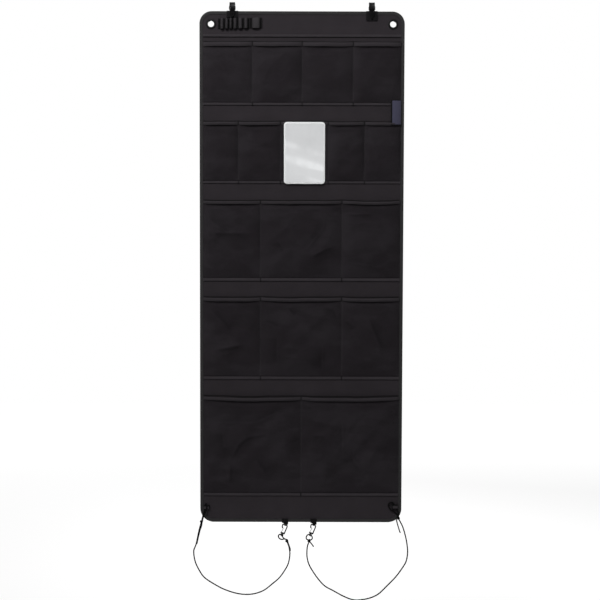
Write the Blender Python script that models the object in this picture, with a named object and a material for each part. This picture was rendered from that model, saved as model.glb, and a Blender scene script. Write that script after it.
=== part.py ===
"""A hanging tent organizer: a fabric panel with five rows of mesh pockets, a mirror, an elastic with loops for
tools, two hooks that hang it on a pole, and two elastic cords with snap clips at its foot.

Metres, +Z up. The front looks towards -Y, and +X is the right side seen from the front. The origin is midway
between the two hooks, where the pole that they hang on touches the inside of their crowns. A "depth" is the
distance down from the panel's top edge.
"""

import math

import bmesh
import bpy
from mathutils import Matrix, Vector

# Clearance between two pieces that touch
GAP = 0.0003

# Fabric panel and the binding folded round its edge
PANEL_WIDTH = 0.498
PANEL_THICKNESS = 0.0012
TOP_CORNER_RADIUS = 0.030
BOTTOM_CORNER_RADIUS = 0.034
BINDING_WIDTH = 0.008
BINDING_THICKNESS = 0.0008
CORNER_STEPS = 8

# Hanging hooks: a ribbed strip bent over the pole, with a cross bar in a webbing tab
HOOK_SPACING = 0.338
HOOK_THROAT = 0.016
HOOK_THICKNESS = 0.0035
HOOK_WEB_THICKNESS = 0.0022
HOOK_RIB_WIDTH = 0.0025
HOOK_CROWN_WIDTH = 0.011
HOOK_BASE_WIDTH = 0.014
HOOK_TIP_WIDTH = 0.0095
HOOK_BACK_LENGTH = 0.008
HOOK_TIP_FLARE = 0.0025
HOOK_BAR_RADIUS = 0.0016
HOOK_EYE_RADIUS = 0.0024
HOOK_ARM_WIDTH = 0.0021
HOOK_RISE = 0.0210
HOOK_BAR_RISE = 0.0047
HOOK_PATCH_WIDTH = 0.028
HOOK_PATCH_HEIGHT = {"left": 0.0152, "right": 0.0220}
PATCH_THICKNESS = 0.0008
WEBBING_THICKNESS = 0.0010
HOOK_TAB_WIDTH = 0.013
HOOK_TAB_SHOULDER = 0.006
HOOK_TAB_LENGTH = {"left": 0.0148, "right": 0.0190}

# Eyelets near the top corners
EYELET_INSET = 0.028
EYELET_DEPTH = 0.0307
EYELET_BORE_RADIUS = 0.0075
EYELET_BARREL_WALL = 0.0008
EYELET_FLANGE_RADIUS = 0.0125
EYELET_FLANGE_HEIGHT = 0.0013
EYELET_ROLL_RADIUS = 0.0100
WASHER_RADIUS = 0.0120
WASHER_THICKNESS = 0.0008
ROUND_STEPS = 20

# Tape across the head of the panel
HEADER_DEPTH = 0.0557
HEADER_HEIGHT = 0.0060
HEADER_THICKNESS = 0.0012

# Elastic with loops for tools: (flat stretch before the loop, the loop's width, how far it stands out)
ELASTIC_FROM_EYELET = 0.0033
ELASTIC_END = 0.0039
ELASTIC_DEPTH = 0.0295
ELASTIC_HEIGHT = 0.025
ELASTIC_THICKNESS = 0.0010
ELASTIC_LEAN = math.radians(1.3)
ELASTIC_LOOPS = (
    (0.0059, 0.0109, 0.0080),
    (0.0, 0.0109, 0.0080),
    (0.0, 0.0092, 0.0080),
    (0.0, 0.0117, 0.0080),
    (0.0, 0.0140, 0.0078),
    (0.0, 0.0126, 0.0080),
    (0.0071, 0.0230, 0.0072),
)

# Mesh pockets: each row is one sheet, sewn down at its sides, its bottom tape and its dividers. strip is the
# bare panel above the row, hem the band at its mouth, drop the way from the mouth to the tape at its foot
SHEET_THICKNESS = 0.0010
HEM_THICKNESS = 0.0008
TAPE_THICKNESS = 0.0008
POCKET_DRAW_IN = 0.22
POCKET_STEPS = 8
POCKET_LEVELS = 6
SEAM_EASE = 0.0006
ROWS = (
    {"name": "row1", "strip": 0.0120, "drop": 0.1468, "hem": 0.0101, "tape": 0.0056, "sag": 0.0018,
     "dividers": (-0.1205, 0.0006, 0.1246), "depths": (0.011, 0.011, 0.011, 0.011), "folds": 0.0},
    {"name": "row2", "strip": 0.0396, "drop": 0.1447, "hem": 0.0080, "tape": 0.0051, "sag": 0.0016,
     "dividers": (-0.1545, -0.0518, 0.0645, 0.1529), "depths": (0.010, 0.011, 0.0, 0.011, 0.010), "folds": 0.0},
    {"name": "row3", "strip": 0.0419, "drop": 0.1896, "hem": 0.0075, "tape": 0.0071, "sag": 0.0016,
     "dividers": (-0.1005, 0.0985), "depths": (0.012, 0.013, 0.012), "folds": 0.0008},
    {"name": "row4", "strip": 0.0396, "drop": 0.1957, "hem": 0.0086, "tape": 0.0069, "sag": 0.0016,
     "dividers": (-0.1005, 0.0990), "depths": (0.012, 0.013, 0.012), "folds": 0.0008},
    {"name": "row5", "strip": 0.0419, "drop": 0.2409, "hem": 0.0087, "tape": 0.0065, "sag": 0.0018,
     "dividers": (0.0,), "depths": (0.014, 0.014), "folds": 0.0016},
)
FOOT_STRIP = 0.0664
FOLD_LENGTH = 0.075

# Mirror, held by hook-and-loop tapes on the flat stretch of the second row
MIRROR_WIDTH = 0.100
MIRROR_HEIGHT = 0.150
MIRROR_CORNER = 0.008
MIRROR_THICKNESS = 0.0025
MIRROR_RIM = 0.0035
MIRROR_RIM_DROP = 0.0008
MIRROR_X = 0.0065
MIRROR_BELOW_MOUTH = 0.0013
MIRROR_TAPE_WIDTH = 0.080
MIRROR_TAPE_HEIGHT = 0.020
MIRROR_TAPE_INSET = 0.040

# Label sewn in at the right side
LABEL_WIDTH = 0.0222
LABEL_HEIGHT = 0.0612
LABEL_ABOVE_MOUTH = 0.0527
LABEL_THICKNESS = 0.0006
LABEL_LEAN = math.radians(2.0)
LABEL_CLEARANCE = 0.0007

# Snap clips in webbing tabs at the bottom edge
CLIP_PLACES = (("left", -0.0390), ("right", 0.0315))
CLIP_DROP = 0.0062
CLIP_LEAN = math.radians(18.0)
CLIP_WIRE_RADIUS = 0.00125
CLIP_TAB_WIDTH = 0.0155
CLIP_TAB_LOOP_WIDTH = 0.0054
CLIP_TAB_SEWN = 0.0085
CLIP_COLLAR_TOP = 0.0200
CLIP_COLLAR_BOTTOM = 0.0234
CLIP_COLLAR_LEFT = -0.0046
CLIP_COLLAR_RIGHT = 0.0064
CLIP_COLLAR_HALF_DEPTH = 0.0019
CLIP_EYE_RADIUS = 0.0029
CLIP_EYE_WIRE_RADIUS = 0.0009
CLIP_EYE_DROP = 0.0266
GATE_WIRE_RADIUS = 0.0005
GATE_PIVOT = (-0.0030, 0.0215)
GATE_TOP = 0.0088

# Webbing loops at the bottom corners
CORNER_LOOP_REACH = 0.016
CORNER_LOOP_WIDTH = 0.0095
CORNER_LOOP_DEPTH = {"left": 0.0, "right": -0.0025}
CORNER_LOOP_RISE = 0.0425
CORNER_LOOP_ROOM = 0.0031

# Elastic cords: (x, depth, y) of the routes' own points, from the corner knot to the clip knot
CORD_DIAMETER = 0.0025
CORD_STEP = 0.0068
KNOT_RADIUS = 0.0034
KNOT_STUB = 0.0012
KNOT_STRANDS_APART = 0.0017
KNOT_SHAPE = (1.06, 0.96, 1.04)
KNOT_TWIST = 0.35
LEFT_ROUTE = (
    (-0.2460, 1.2505, -0.0095), (-0.2520, 1.2726, -0.0100), (-0.2591, 1.3065, -0.0110), (-0.2651, 1.3239, -0.0115),
    (-0.2619, 1.3488, -0.0120), (-0.2525, 1.3702, -0.0125), (-0.2374, 1.3913, -0.0125), (-0.2048, 1.4125, -0.0120),
    (-0.1822, 1.4231, -0.0115), (-0.1556, 1.4310, -0.0110), (-0.1327, 1.4332, -0.0105), (-0.1118, 1.4307, -0.0100),
    (-0.0906, 1.4224, -0.0098), (-0.0717, 1.4077, -0.0096), (-0.0526, 1.3908, -0.0094), (-0.0375, 1.3692, -0.0092),
    (-0.0301, 1.3528, -0.0090), (-0.0269, 1.3317, -0.0088), (-0.0289, 1.3150, -0.00865), (-0.0346, 1.2990, -0.00865),
)
RIGHT_ROUTE = (
    (0.2415, 1.2410, -0.01065), (0.2523, 1.2623, -0.0110), (0.2592, 1.2854, -0.0115), (0.2638, 1.3103, -0.0120),
    (0.2647, 1.3276, -0.0125), (0.2616, 1.3470, -0.0130), (0.2530, 1.3631, -0.0135), (0.2360, 1.3868, -0.0135),
    (0.2136, 1.4105, -0.0130), (0.1925, 1.4310, -0.0125), (0.1700, 1.4416, -0.0120), (0.1431, 1.4464, -0.0115),
    (0.1262, 1.4448, -0.0110), (0.1050, 1.4365, -0.0105), (0.0823, 1.4241, -0.0100), (0.0611, 1.4125, -0.0096),
    (0.0459, 1.3971, -0.0094), (0.0306, 1.3757, -0.0092), (0.0201, 1.3566, -0.0090), (0.0156, 1.3372, -0.0088),
    (0.0160, 1.3161, -0.00865), (0.0205, 1.2990, -0.00865),
)

# Planes and places that follow from the sizes above
MOUTH_DEPTHS = {}
HEADER_FOOT = HEADER_DEPTH + HEADER_HEIGHT
PANEL_HEIGHT = HEADER_FOOT
for pocket_row in ROWS:
    MOUTH_DEPTHS[pocket_row["name"]] = PANEL_HEIGHT + pocket_row["strip"]
    PANEL_HEIGHT += pocket_row["strip"] + pocket_row["drop"] + pocket_row["tape"]
PANEL_HEIGHT += FOOT_STRIP
EYELET_X = PANEL_WIDTH / 2 - EYELET_INSET
ELASTIC_LEFT = -EYELET_X + EYELET_FLANGE_RADIUS + ELASTIC_FROM_EYELET
MIRROR_TOP = MOUTH_DEPTHS["row2"] + MIRROR_BELOW_MOUTH
LABEL_TOP = MOUTH_DEPTHS["row2"] - LABEL_ABOVE_MOUTH
CORNER_LOOP_TOP = PANEL_HEIGHT - CORNER_LOOP_RISE
HOOK_Y = -(HOOK_THROAT + HOOK_THICKNESS) / 2
BINDING_STACK = GAP + BINDING_THICKNESS
PATCH_STACK = GAP + PATCH_THICKNESS
PANEL_FRONT = HOOK_Y + WEBBING_THICKNESS + GAP + PATCH_STACK + BINDING_STACK
PANEL_BACK = PANEL_FRONT + PANEL_THICKNESS
PANEL_TOP = HOOK_THICKNESS - HOOK_RISE
HOOK_BAR_Z = PANEL_TOP + HOOK_BAR_RISE
SHEET_HALF_WIDTH = PANEL_WIDTH / 2 - BINDING_WIDTH - GAP
HEM_LIFT = HEM_THICKNESS + GAP
SHEET_BACK = PANEL_FRONT - GAP
MIRROR_BACK = SHEET_BACK - HEM_LIFT - SHEET_THICKNESS - GAP - HEM_THICKNESS - GAP
CLIP_Y = PANEL_FRONT - BINDING_STACK - GAP - WEBBING_THICKNESS
CLIP_BAR_Z = PANEL_TOP - PANEL_HEIGHT - CLIP_DROP
CORD_RADIUS = CORD_DIAMETER / 2


def at_depth(depth):
    """The height of a point at this depth below the panel's top edge."""
    return PANEL_TOP - depth


def clear_scene():
    for obj in list(bpy.data.objects):
        bpy.data.objects.remove(obj, do_unlink=True)


def finish(name, color, roughness, metallic=0.0):
    """A Principled material, made once for each name."""
    material = bpy.data.materials.get(name) or bpy.data.materials.new(name)
    material.use_nodes = True
    shader = material.node_tree.nodes["Principled BSDF"]
    shader.inputs["Base Color"].default_value = (*color, 1.0)
    shader.inputs["Roughness"].default_value = roughness
    shader.inputs["Metallic"].default_value = metallic
    return material


def add_object(name, mesh, material, smooth=None):
    """Links a mesh as an object, shaded smooth below the angle smooth if one is given."""
    mesh.materials.clear()
    mesh.materials.append(material)
    if smooth is not None:
        mesh.shade_smooth()
        mesh.set_sharp_from_angle(angle=math.radians(smooth))
    obj = bpy.data.objects.new(name, mesh)
    bpy.context.scene.collection.objects.link(obj)
    return obj


def mesh_of(name, bm):
    bmesh.ops.recalc_face_normals(bm, faces=bm.faces)
    mesh = bpy.data.meshes.new(name)
    bm.to_mesh(mesh)
    bm.free()
    return mesh


def loft(name, rings, closed=False):
    """A body through rings of points: its ends are capped, or the last ring meets the first."""
    bm = bmesh.new()
    rows = [[bm.verts.new(point) for point in ring] for ring in rings]
    count = len(rows[0])
    pairs = list(zip(rows, rows[1:]))
    if closed:
        pairs.append((rows[-1], rows[0]))
    for low, high in pairs:
        for i in range(count):
            j = (i + 1) % count
            bm.faces.new((low[i], low[j], high[j], high[i]))
    if not closed:
        bm.faces.new(rows[0])
        bm.faces.new(list(reversed(rows[-1])))
    return mesh_of(name, bm)


def strip(name, outline, place, low, high):
    """A prism: the flat outline, put in space by place(a, b, c), from c = low to c = high."""
    return loft(name, [[place(a, b, c) for a, b in outline] for c in (low, high)])


def turned(name, profile, centre):
    """A ring turned about the Y axis through centre, from (radius, y) points."""
    rings = []
    for step in range(ROUND_STEPS):
        angle = 2 * math.pi * step / ROUND_STEPS
        rings.append(
            [
                (centre[0] + r * math.cos(angle), y, centre[1] + r * math.sin(angle))
                for r, y in profile
            ]
        )
    return loft(name, rings, closed=True)


def smooth_curve(points, step):
    """Points along a Catmull-Rom curve through the given ones, about step apart."""
    points = [Vector(p) for p in points]
    ends = [2 * points[0] - points[1], *points, 2 * points[-1] - points[-2]]
    found = [points[0]]
    for before, a, b, after in zip(ends, ends[1:], ends[2:], ends[3:]):
        count = max(1, round((b - a).length / step))
        for k in range(1, count + 1):
            t = k / count
            found.append(
                0.5
                * (
                    2 * a
                    + (b - before) * t
                    + (2 * before - 5 * a + 4 * b - after) * t**2
                    + (3 * a - before - 3 * b + after) * t**3
                )
            )
    return found


def tube_curve(name, points, radius, resolution=2):
    """A curve object: a round tube with filled ends along the points."""
    curve = bpy.data.curves.new(name, "CURVE")
    curve.dimensions = "3D"
    curve.bevel_depth = radius
    curve.bevel_resolution = resolution
    curve.use_fill_caps = True
    spline = curve.splines.new("POLY")
    spline.points.add(len(points) - 1)
    for target, point in zip(spline.points, points):
        target.co = (*point, 1.0)
    obj = bpy.data.objects.new(name, curve)
    bpy.context.scene.collection.objects.link(obj)
    return obj


def tube_mesh(name, points, radius, resolution=2):
    """The same tube as a closed mesh, for joining to others."""
    obj = tube_curve(name, points, radius, resolution)
    mesh = bpy.data.meshes.new_from_object(obj.evaluated_get(bpy.context.evaluated_depsgraph_get()))
    bpy.data.objects.remove(obj, do_unlink=True)
    bm = bmesh.new()
    bm.from_mesh(mesh)
    bmesh.ops.remove_doubles(bm, verts=bm.verts, dist=1e-6)
    bpy.data.meshes.remove(mesh)
    return mesh_of(name, bm)


def helper(name, mesh):
    """A hidden object that a Boolean uses."""
    obj = bpy.data.objects.new(name, mesh)
    bpy.context.scene.collection.objects.link(obj)
    obj.hide_render = True
    obj.display_type = "WIRE"
    return obj


def combine(obj, mesh, operation):
    """Adds an EXACT Boolean with the mesh to the object."""
    label = f"{obj.name}_{operation.lower()}_{len(obj.modifiers)}"
    modifier = obj.modifiers.new(label, "BOOLEAN")
    modifier.operation = operation
    modifier.solver = "EXACT"
    modifier.object = helper(label, mesh)


def cylinder(name, centre, radius, axis, low, high, steps=ROUND_STEPS):
    """A cylinder along X or Y, from low to high on that axis."""
    outline = [
        (radius * math.cos(2 * math.pi * k / steps), radius * math.sin(2 * math.pi * k / steps))
        for k in range(steps)
    ]
    if axis == "X":
        return strip(name, outline, lambda a, b, c: (c, centre[0] + a, centre[1] + b), low, high)
    return strip(name, outline, lambda a, b, c: (centre[0] + a, c, centre[1] + b), low, high)


def outline_at(inset):
    """(x, z) points of the panel's outline, drawn in by inset, counter-clockwise from the bottom left corner."""
    half = PANEL_WIDTH / 2
    corners = (
        (-half, PANEL_TOP - PANEL_HEIGHT, BOTTOM_CORNER_RADIUS, 180),
        (half, PANEL_TOP - PANEL_HEIGHT, BOTTOM_CORNER_RADIUS, 270),
        (half, PANEL_TOP, TOP_CORNER_RADIUS, 0),
        (-half, PANEL_TOP, TOP_CORNER_RADIUS, 90),
    )
    points = []
    for x, z, radius, start in corners:
        centre_x = x - math.copysign(radius, x)
        centre_z = z + radius if start >= 180 else z - radius
        for step in range(CORNER_STEPS + 1):
            angle = math.radians(start + 90 * step / CORNER_STEPS)
            reach = radius - inset
            points.append((centre_x + reach * math.cos(angle), centre_z + reach * math.sin(angle)))
    return points


def make_backing_panel(material):
    outline = outline_at(BINDING_STACK)
    panel = add_object(
        "backing_panel",
        strip("backing_panel", outline, lambda a, b, c: (a, c, b), PANEL_FRONT, PANEL_BACK),
        material,
    )
    hole = EYELET_BORE_RADIUS + EYELET_BARREL_WALL + GAP
    for side in (-1, 1):
        centre = (side * EYELET_X, at_depth(EYELET_DEPTH))
        through = cylinder("eyelet_hole", centre, hole, "Y", PANEL_FRONT - 0.005, PANEL_BACK + 0.005)
        combine(panel, through, "DIFFERENCE")


def make_edge_binding(material):
    """A tape folded round the panel's edge, swept along the outline."""
    front, back = PANEL_FRONT - GAP, PANEL_BACK + GAP
    t = BINDING_THICKNESS
    profile = (
        (BINDING_WIDTH, front - t), (0.0010, front - t), (0.0003, front - 0.6 * t), (0.0, front),
        (0.0, back), (0.0003, back + 0.6 * t), (0.0010, back + t), (BINDING_WIDTH, back + t),
        (BINDING_WIDTH, back), (t, back), (t, front), (BINDING_WIDTH, front),
    )
    lines = [outline_at(inset) for inset, _ in profile]
    rings = [
        [(line[k][0], y, line[k][1]) for line, (_, y) in zip(lines, profile)]
        for k in range(len(lines[0]))
    ]
    add_object("edge_binding", loft("edge_binding", rings, closed=True), material, smooth=40)


def flat_tape(name, material, x, depth, back, thickness, bevel=0.0003):
    """A tape with eased edges: x and depth are (low, high), and its rear face is at back."""
    bm = bmesh.new()
    bmesh.ops.create_cube(bm, size=1.0)
    size = (x[1] - x[0], thickness, depth[1] - depth[0])
    centre = ((x[0] + x[1]) / 2, back - thickness / 2, at_depth((depth[0] + depth[1]) / 2))
    bmesh.ops.scale(bm, verts=bm.verts, vec=size)
    bmesh.ops.translate(bm, verts=bm.verts, vec=centre)
    front_edges = [e for e in bm.edges if all(v.co.y < centre[1] for v in e.verts)]
    bmesh.ops.bevel(
        bm, geom=front_edges, offset=bevel, segments=1, profile=0.5, affect="EDGES", material=-1
    )
    return add_object(name, mesh_of(name, bm), material)


def mouth_of(row):
    return MOUTH_DEPTHS[row["name"]]


def tape_of(row):
    """The depth at which the tape along the row's foot starts."""
    return mouth_of(row) + row["drop"]


def seams_of(row):
    return (-SHEET_HALF_WIDTH, *row["dividers"], SHEET_HALF_WIDTH)


def across(row, x):
    """(pocket number, 0 at a seam to 1 over the middle of the pocket) at x."""
    seams = seams_of(row)
    number = max(0, min(len(seams) - 2, sum(x >= s for s in seams) - 1))
    u = (x - seams[number]) / (seams[number + 1] - seams[number])
    return number, 1 - abs(2 * u - 1) ** 4


def hem_drop(row, x):
    """How far the mouth sags at x."""
    number, share = across(row, x)
    return row["sag"] * share if row["depths"][number] else 0.0


def sheet_back(row, x, depth):
    """The y of the pocket sheet's rear face: flat on the panel at its seams, standing out between them."""
    number, share = across(row, x)
    sewn = tape_of(row) - SEAM_EASE
    under_hem = mouth_of(row) + row["hem"]
    rise = max(0.0, min(1.0, (sewn - max(depth, under_hem)) / (sewn - under_hem)))
    belly = row["depths"][number] * share * (1 - (1 - rise) ** 4) * (1 - POCKET_DRAW_IN * rise**3)
    fold = math.sin(2 * math.pi * (x + (depth - mouth_of(row))) / FOLD_LENGTH)
    belly += row["folds"] * fold * share * math.sin(math.pi * rise) if row["depths"][number] else 0.0
    lift = HEM_LIFT * max(0.0, 1 - max(0.0, depth - under_hem - row["sag"]) / 0.020)
    return SHEET_BACK - max(0.0, belly) - lift


def row_columns(row):
    """The x places of a row's columns, closer together beside its seams."""
    seams = seams_of(row)
    columns = [seams[0]]
    for number, (low, high) in enumerate(zip(seams, seams[1:])):
        steps = POCKET_STEPS if row["depths"][number] else 1
        if row["folds"] > 0.001:
            steps *= 2
        for k in range(1, steps + 1):
            columns.append(low + (high - low) * (0.5 - 0.5 * math.cos(math.pi * k / steps)))
    return columns


def make_pocket_sheet(row, material):
    columns = row_columns(row)
    under_hem = mouth_of(row) + row["hem"] + row["sag"]
    sewn = tape_of(row) - SEAM_EASE
    levels = POCKET_LEVELS + (3 if row["folds"] > 0.001 else 0)
    depths = [tape_of(row) + row["tape"], tape_of(row)]
    depths += [sewn + (under_hem - sewn) * (k / levels) ** 1.4 for k in range(1, levels + 1)]
    top = mouth_of(row) + HEM_THICKNESS + GAP
    bm = bmesh.new()
    bmesh.ops.create_grid(bm, x_segments=len(columns) - 1, y_segments=len(depths), size=1.0)
    for vert in bm.verts:
        x = columns[round((vert.co.x + 1) / 2 * (len(columns) - 1))]
        level = round((vert.co.y + 1) / 2 * len(depths))
        depth = depths[level] if level < len(depths) else top + hem_drop(row, x)
        vert.co = (x, sheet_back(row, x, depth), at_depth(depth))
    made = bmesh.ops.extrude_face_region(bm, geom=list(bm.faces))
    front = [g for g in made["geom"] if isinstance(g, bmesh.types.BMVert)]
    bmesh.ops.translate(bm, verts=front, vec=(0, -SHEET_THICKNESS, 0))
    name = f"{row['name']}_pocket_sheet"
    add_object(name, mesh_of(name, bm), material, smooth=35)


def make_hem(row, material):
    """A tape folded over the sheet's upper edge, following its curve."""
    rings = []
    for x in row_columns(row):
        top = mouth_of(row) + hem_drop(row, x)
        foot = top + row["hem"]
        rear = sheet_back(row, x, top)
        inner_back, inner_front = rear + GAP, rear - SHEET_THICKNESS - GAP
        outer_back, outer_front = inner_back + HEM_THICKNESS, inner_front - HEM_THICKNESS
        section = (
            (outer_front, foot), (outer_front, top + 0.0006), (inner_front, top),
            (inner_back, top), (outer_back, top + 0.0006), (outer_back, foot),
            (inner_back, foot), (inner_back, top + HEM_THICKNESS),
            (inner_front, top + HEM_THICKNESS), (inner_front, foot),
        )
        rings.append([(x, y, at_depth(d)) for y, d in section])
    name = f"{row['name']}_hem"
    add_object(name, loft(name, rings), material, smooth=50)


def make_pocket_row(row, mesh_material, tape_material):
    make_pocket_sheet(row, mesh_material)
    make_hem(row, tape_material)
    flat_tape(
        f"{row['name']}_bottom_tape", tape_material, (-SHEET_HALF_WIDTH, SHEET_HALF_WIDTH),
        (tape_of(row), tape_of(row) + row["tape"]), SHEET_BACK - SHEET_THICKNESS - GAP, TAPE_THICKNESS,
    )


def arch(centre, half_width, height, start, steps=6):
    """Half an ellipse over the panel as (x, y) points, from the angle start to its mirror image."""
    points = []
    for k in range(steps + 1):
        angle = start + (math.pi - 2 * start) * k / steps
        points.append(
            (centre - half_width * math.cos(angle), SHEET_BACK - height * math.sin(angle))
        )
    return points


def make_tool_elastic(material):
    """One strip of elastic, sewn down between its loops."""
    t = ELASTIC_THICKNESS
    outer = [(ELASTIC_LEFT, SHEET_BACK - t)]
    inner = [(ELASTIC_LEFT, SHEET_BACK)]
    at = ELASTIC_LEFT
    for land, width, height in ELASTIC_LOOPS:
        centre, half = at + land + width / 2, width / 2 - GAP
        outer += arch(centre, half, height, math.asin(t / height))
        inner += arch(centre, half - t, height - t, 0.0)
        at += land + width
    outer.append((at + ELASTIC_END, SHEET_BACK - t))
    inner.append((at + ELASTIC_END, SHEET_BACK))
    outline = outer + inner[::-1]
    middle = (ELASTIC_LEFT + at + ELASTIC_END) / 2
    height = at_depth(ELASTIC_DEPTH)

    def place(x, y, c):
        return (x, y, height + c + (x - middle) * math.tan(ELASTIC_LEAN))

    mesh = strip("tool_loop_elastic", outline, place, -ELASTIC_HEIGHT / 2, ELASTIC_HEIGHT / 2)
    add_object("tool_loop_elastic", mesh, material, smooth=50)


def make_side_label(material):
    """A stiff label sewn in at the right side, lying out over the hem below it."""
    row = ROWS[1]
    seam = SHEET_HALF_WIDTH
    outline_front = []
    for k in range(7):
        x = seam - LABEL_WIDTH * k / 6
        top = mouth_of(row) + hem_drop(row, x)
        hem_front = sheet_back(row, x, top) - SHEET_THICKNESS - GAP - HEM_THICKNESS
        outline_front.append((x, hem_front - LABEL_CLEARANCE))
    outline = outline_front + [(x, y - LABEL_THICKNESS) for x, y in reversed(outline_front)]

    def place(x, y, c):
        return (x, y, at_depth(LABEL_TOP + c) + (x - seam) * math.tan(LABEL_LEAN))

    add_object("side_label", strip("side_label", outline, place, 0.0, LABEL_HEIGHT), material, smooth=40)


def rounded_rectangle(centre, size, radius, inset=0.0, steps=5):
    """(x, z) points of a rectangle with round corners, drawn in by inset."""
    points = []
    for sx, sz, start in ((1, 1, 0), (-1, 1, 90), (-1, -1, 180), (1, -1, 270)):
        cx = centre[0] + sx * (size[0] / 2 - radius)
        cz = centre[1] + sz * (size[1] / 2 - radius)
        for k in range(steps + 1):
            angle = math.radians(start + 90 * k / steps)
            points.append(
                (cx + (radius - inset) * math.cos(angle), cz + (radius - inset) * math.sin(angle))
            )
    return points


def make_mirror(glass, tape_material):
    """The mirror plate with its ground rim, and the tapes that hold it."""
    centre = (MIRROR_X, at_depth(MIRROR_TOP + MIRROR_HEIGHT / 2))
    size = (MIRROR_WIDTH, MIRROR_HEIGHT)
    front = MIRROR_BACK - MIRROR_THICKNESS
    rings = []
    for y, inset in ((MIRROR_BACK, 0.0), (front + MIRROR_RIM_DROP, 0.0), (front, MIRROR_RIM)):
        rings.append([(x, y, z) for x, z in rounded_rectangle(centre, size, MIRROR_CORNER, inset)])
    add_object("mirror_plate", loft("mirror_plate", rings), glass, smooth=20)
    x = (MIRROR_X - MIRROR_TAPE_WIDTH / 2, MIRROR_X + MIRROR_TAPE_WIDTH / 2)
    sheet_front = SHEET_BACK - SHEET_THICKNESS
    tape = (sheet_front - MIRROR_BACK - 3 * GAP) / 2
    upper = MIRROR_TOP + MIRROR_TAPE_INSET
    lower = MIRROR_TOP + MIRROR_HEIGHT - MIRROR_TAPE_INSET - MIRROR_TAPE_HEIGHT
    for place, depth in (("upper", upper), ("lower", lower)):
        span = (depth, depth + MIRROR_TAPE_HEIGHT)
        flat_tape(f"mirror_loop_tape_{place}", tape_material, x, span, sheet_front - GAP, tape, 0.0002)
        flat_tape(
            f"mirror_hook_tape_{place}", tape_material, x, span, sheet_front - 2 * GAP - tape, tape, 0.0002
        )


def make_eyelet(side, x, metal):
    """A front flange with its barrel, rolled over a washer at the back."""
    name = f"eyelet_{side}"
    centre = (x, at_depth(EYELET_DEPTH))
    flange_back = PANEL_FRONT - GAP
    flange_front = flange_back - EYELET_FLANGE_HEIGHT
    washer_front = PANEL_BACK + GAP
    roll = washer_front + WASHER_THICKNESS + GAP
    bore, barrel = EYELET_BORE_RADIUS, EYELET_BORE_RADIUS + EYELET_BARREL_WALL
    profile = (
        (bore, flange_front + 0.0006), (bore + 0.0010, flange_front),
        (EYELET_FLANGE_RADIUS - 0.0011, flange_front), (EYELET_FLANGE_RADIUS, flange_back - 0.0003),
        (EYELET_FLANGE_RADIUS, flange_back), (barrel, flange_back), (barrel, roll),
        (EYELET_ROLL_RADIUS, roll), (EYELET_ROLL_RADIUS + 0.0001, roll + 0.0004),
        (bore + 0.0014, roll + 0.0009), (bore, roll + 0.0004),
    )
    add_object(name, turned(name, profile, centre), metal, smooth=45)
    inner = barrel + GAP
    washer = (
        (inner, washer_front), (inner, washer_front + WASHER_THICKNESS),
        (WASHER_RADIUS - 0.0003, washer_front + WASHER_THICKNESS),
        (WASHER_RADIUS, washer_front + WASHER_THICKNESS - 0.0003), (WASHER_RADIUS, washer_front),
    )
    add_object(f"{name}_washer", turned(f"{name}_washer", washer, centre), metal, smooth=45)


def make_hook_patch(side, x, material):
    """A patch folded over the panel's edge under the hook's tab."""
    front = PANEL_FRONT - BINDING_STACK - GAP
    back = PANEL_BACK + BINDING_STACK + GAP
    t = PATCH_THICKNESS
    foot = PANEL_TOP - HOOK_PATCH_HEIGHT[side]
    top = PANEL_TOP + GAP
    outline = (
        (front - t, foot), (front, foot), (front, top), (back, top), (back, foot), (back + t, foot),
        (back + t, top + 0.4 * t), (back + 0.4 * t, top + t), (front - 0.4 * t, top + t),
        (front - t, top + 0.4 * t),
    )
    name = f"hook_{side}_patch"
    mesh = strip(
        name, outline, lambda a, b, c: (c, a, b), x - HOOK_PATCH_WIDTH / 2, x + HOOK_PATCH_WIDTH / 2
    )
    add_object(name, mesh, material)


def keyhole(centre_y, bar_z, bore, away, length, steps=12):
    """(y, z) outline of a doubled webbing with a loop round a bar. away is -1 where it hangs down from the bar."""
    outer = bore + WEBBING_THICKNESS
    neck = math.asin(WEBBING_THICKNESS / outer)
    points = []
    for k in range(steps + 1):
        angle = neck + (2 * math.pi - 2 * neck) * k / steps
        points.append((centre_y + outer * math.sin(angle), bar_z + away * outer * math.cos(angle)))
    points.append((centre_y - WEBBING_THICKNESS, bar_z + away * length))
    points.append((centre_y + WEBBING_THICKNESS, bar_z + away * length))
    return points


def webbing_tab(name, material, x, centre_y, bar_z, bore, away, length, width_at, lean=0.0, levels=()):
    """A folded webbing tab: a solid keyhole with its bore cut out. width_at gives its width at a distance from
    the bar, levels adds cuts where that width changes, and lean tilts the part round the bar."""
    outline = keyhole(centre_y, bar_z, bore, away, length)
    mesh = strip(name, outline, lambda a, b, c: (c, a, b), -0.5, 0.5)
    bm = bmesh.new()
    bm.from_mesh(mesh)
    bpy.data.meshes.remove(mesh)
    for level in levels:
        bmesh.ops.bisect_plane(
            bm, geom=[*bm.verts, *bm.edges, *bm.faces], plane_co=(0, 0, bar_z + away * level),
            plane_no=(0, 0, 1),
        )
    reach = levels[0] if levels else length
    for vert in bm.verts:
        along = away * (vert.co.z - bar_z)
        vert.co.x *= width_at(along)
        ease = max(0.0, min(1.0, 1 - along / reach))
        vert.co.z -= math.tan(lean) * vert.co.x * ease
        vert.co.x += x
    tab = add_object(name, mesh_of(name, bm), material)
    hole = cylinder(f"{name}_bore", (centre_y, bar_z), bore, "X", x - 0.02, x + 0.02)
    if lean:
        turn = Matrix.Translation((x, 0, bar_z)) @ Matrix.Rotation(lean, 4, "Y")
        hole.transform(turn @ Matrix.Translation((-x, 0, -bar_z)))
    combine(tab, hole, "DIFFERENCE")


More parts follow.
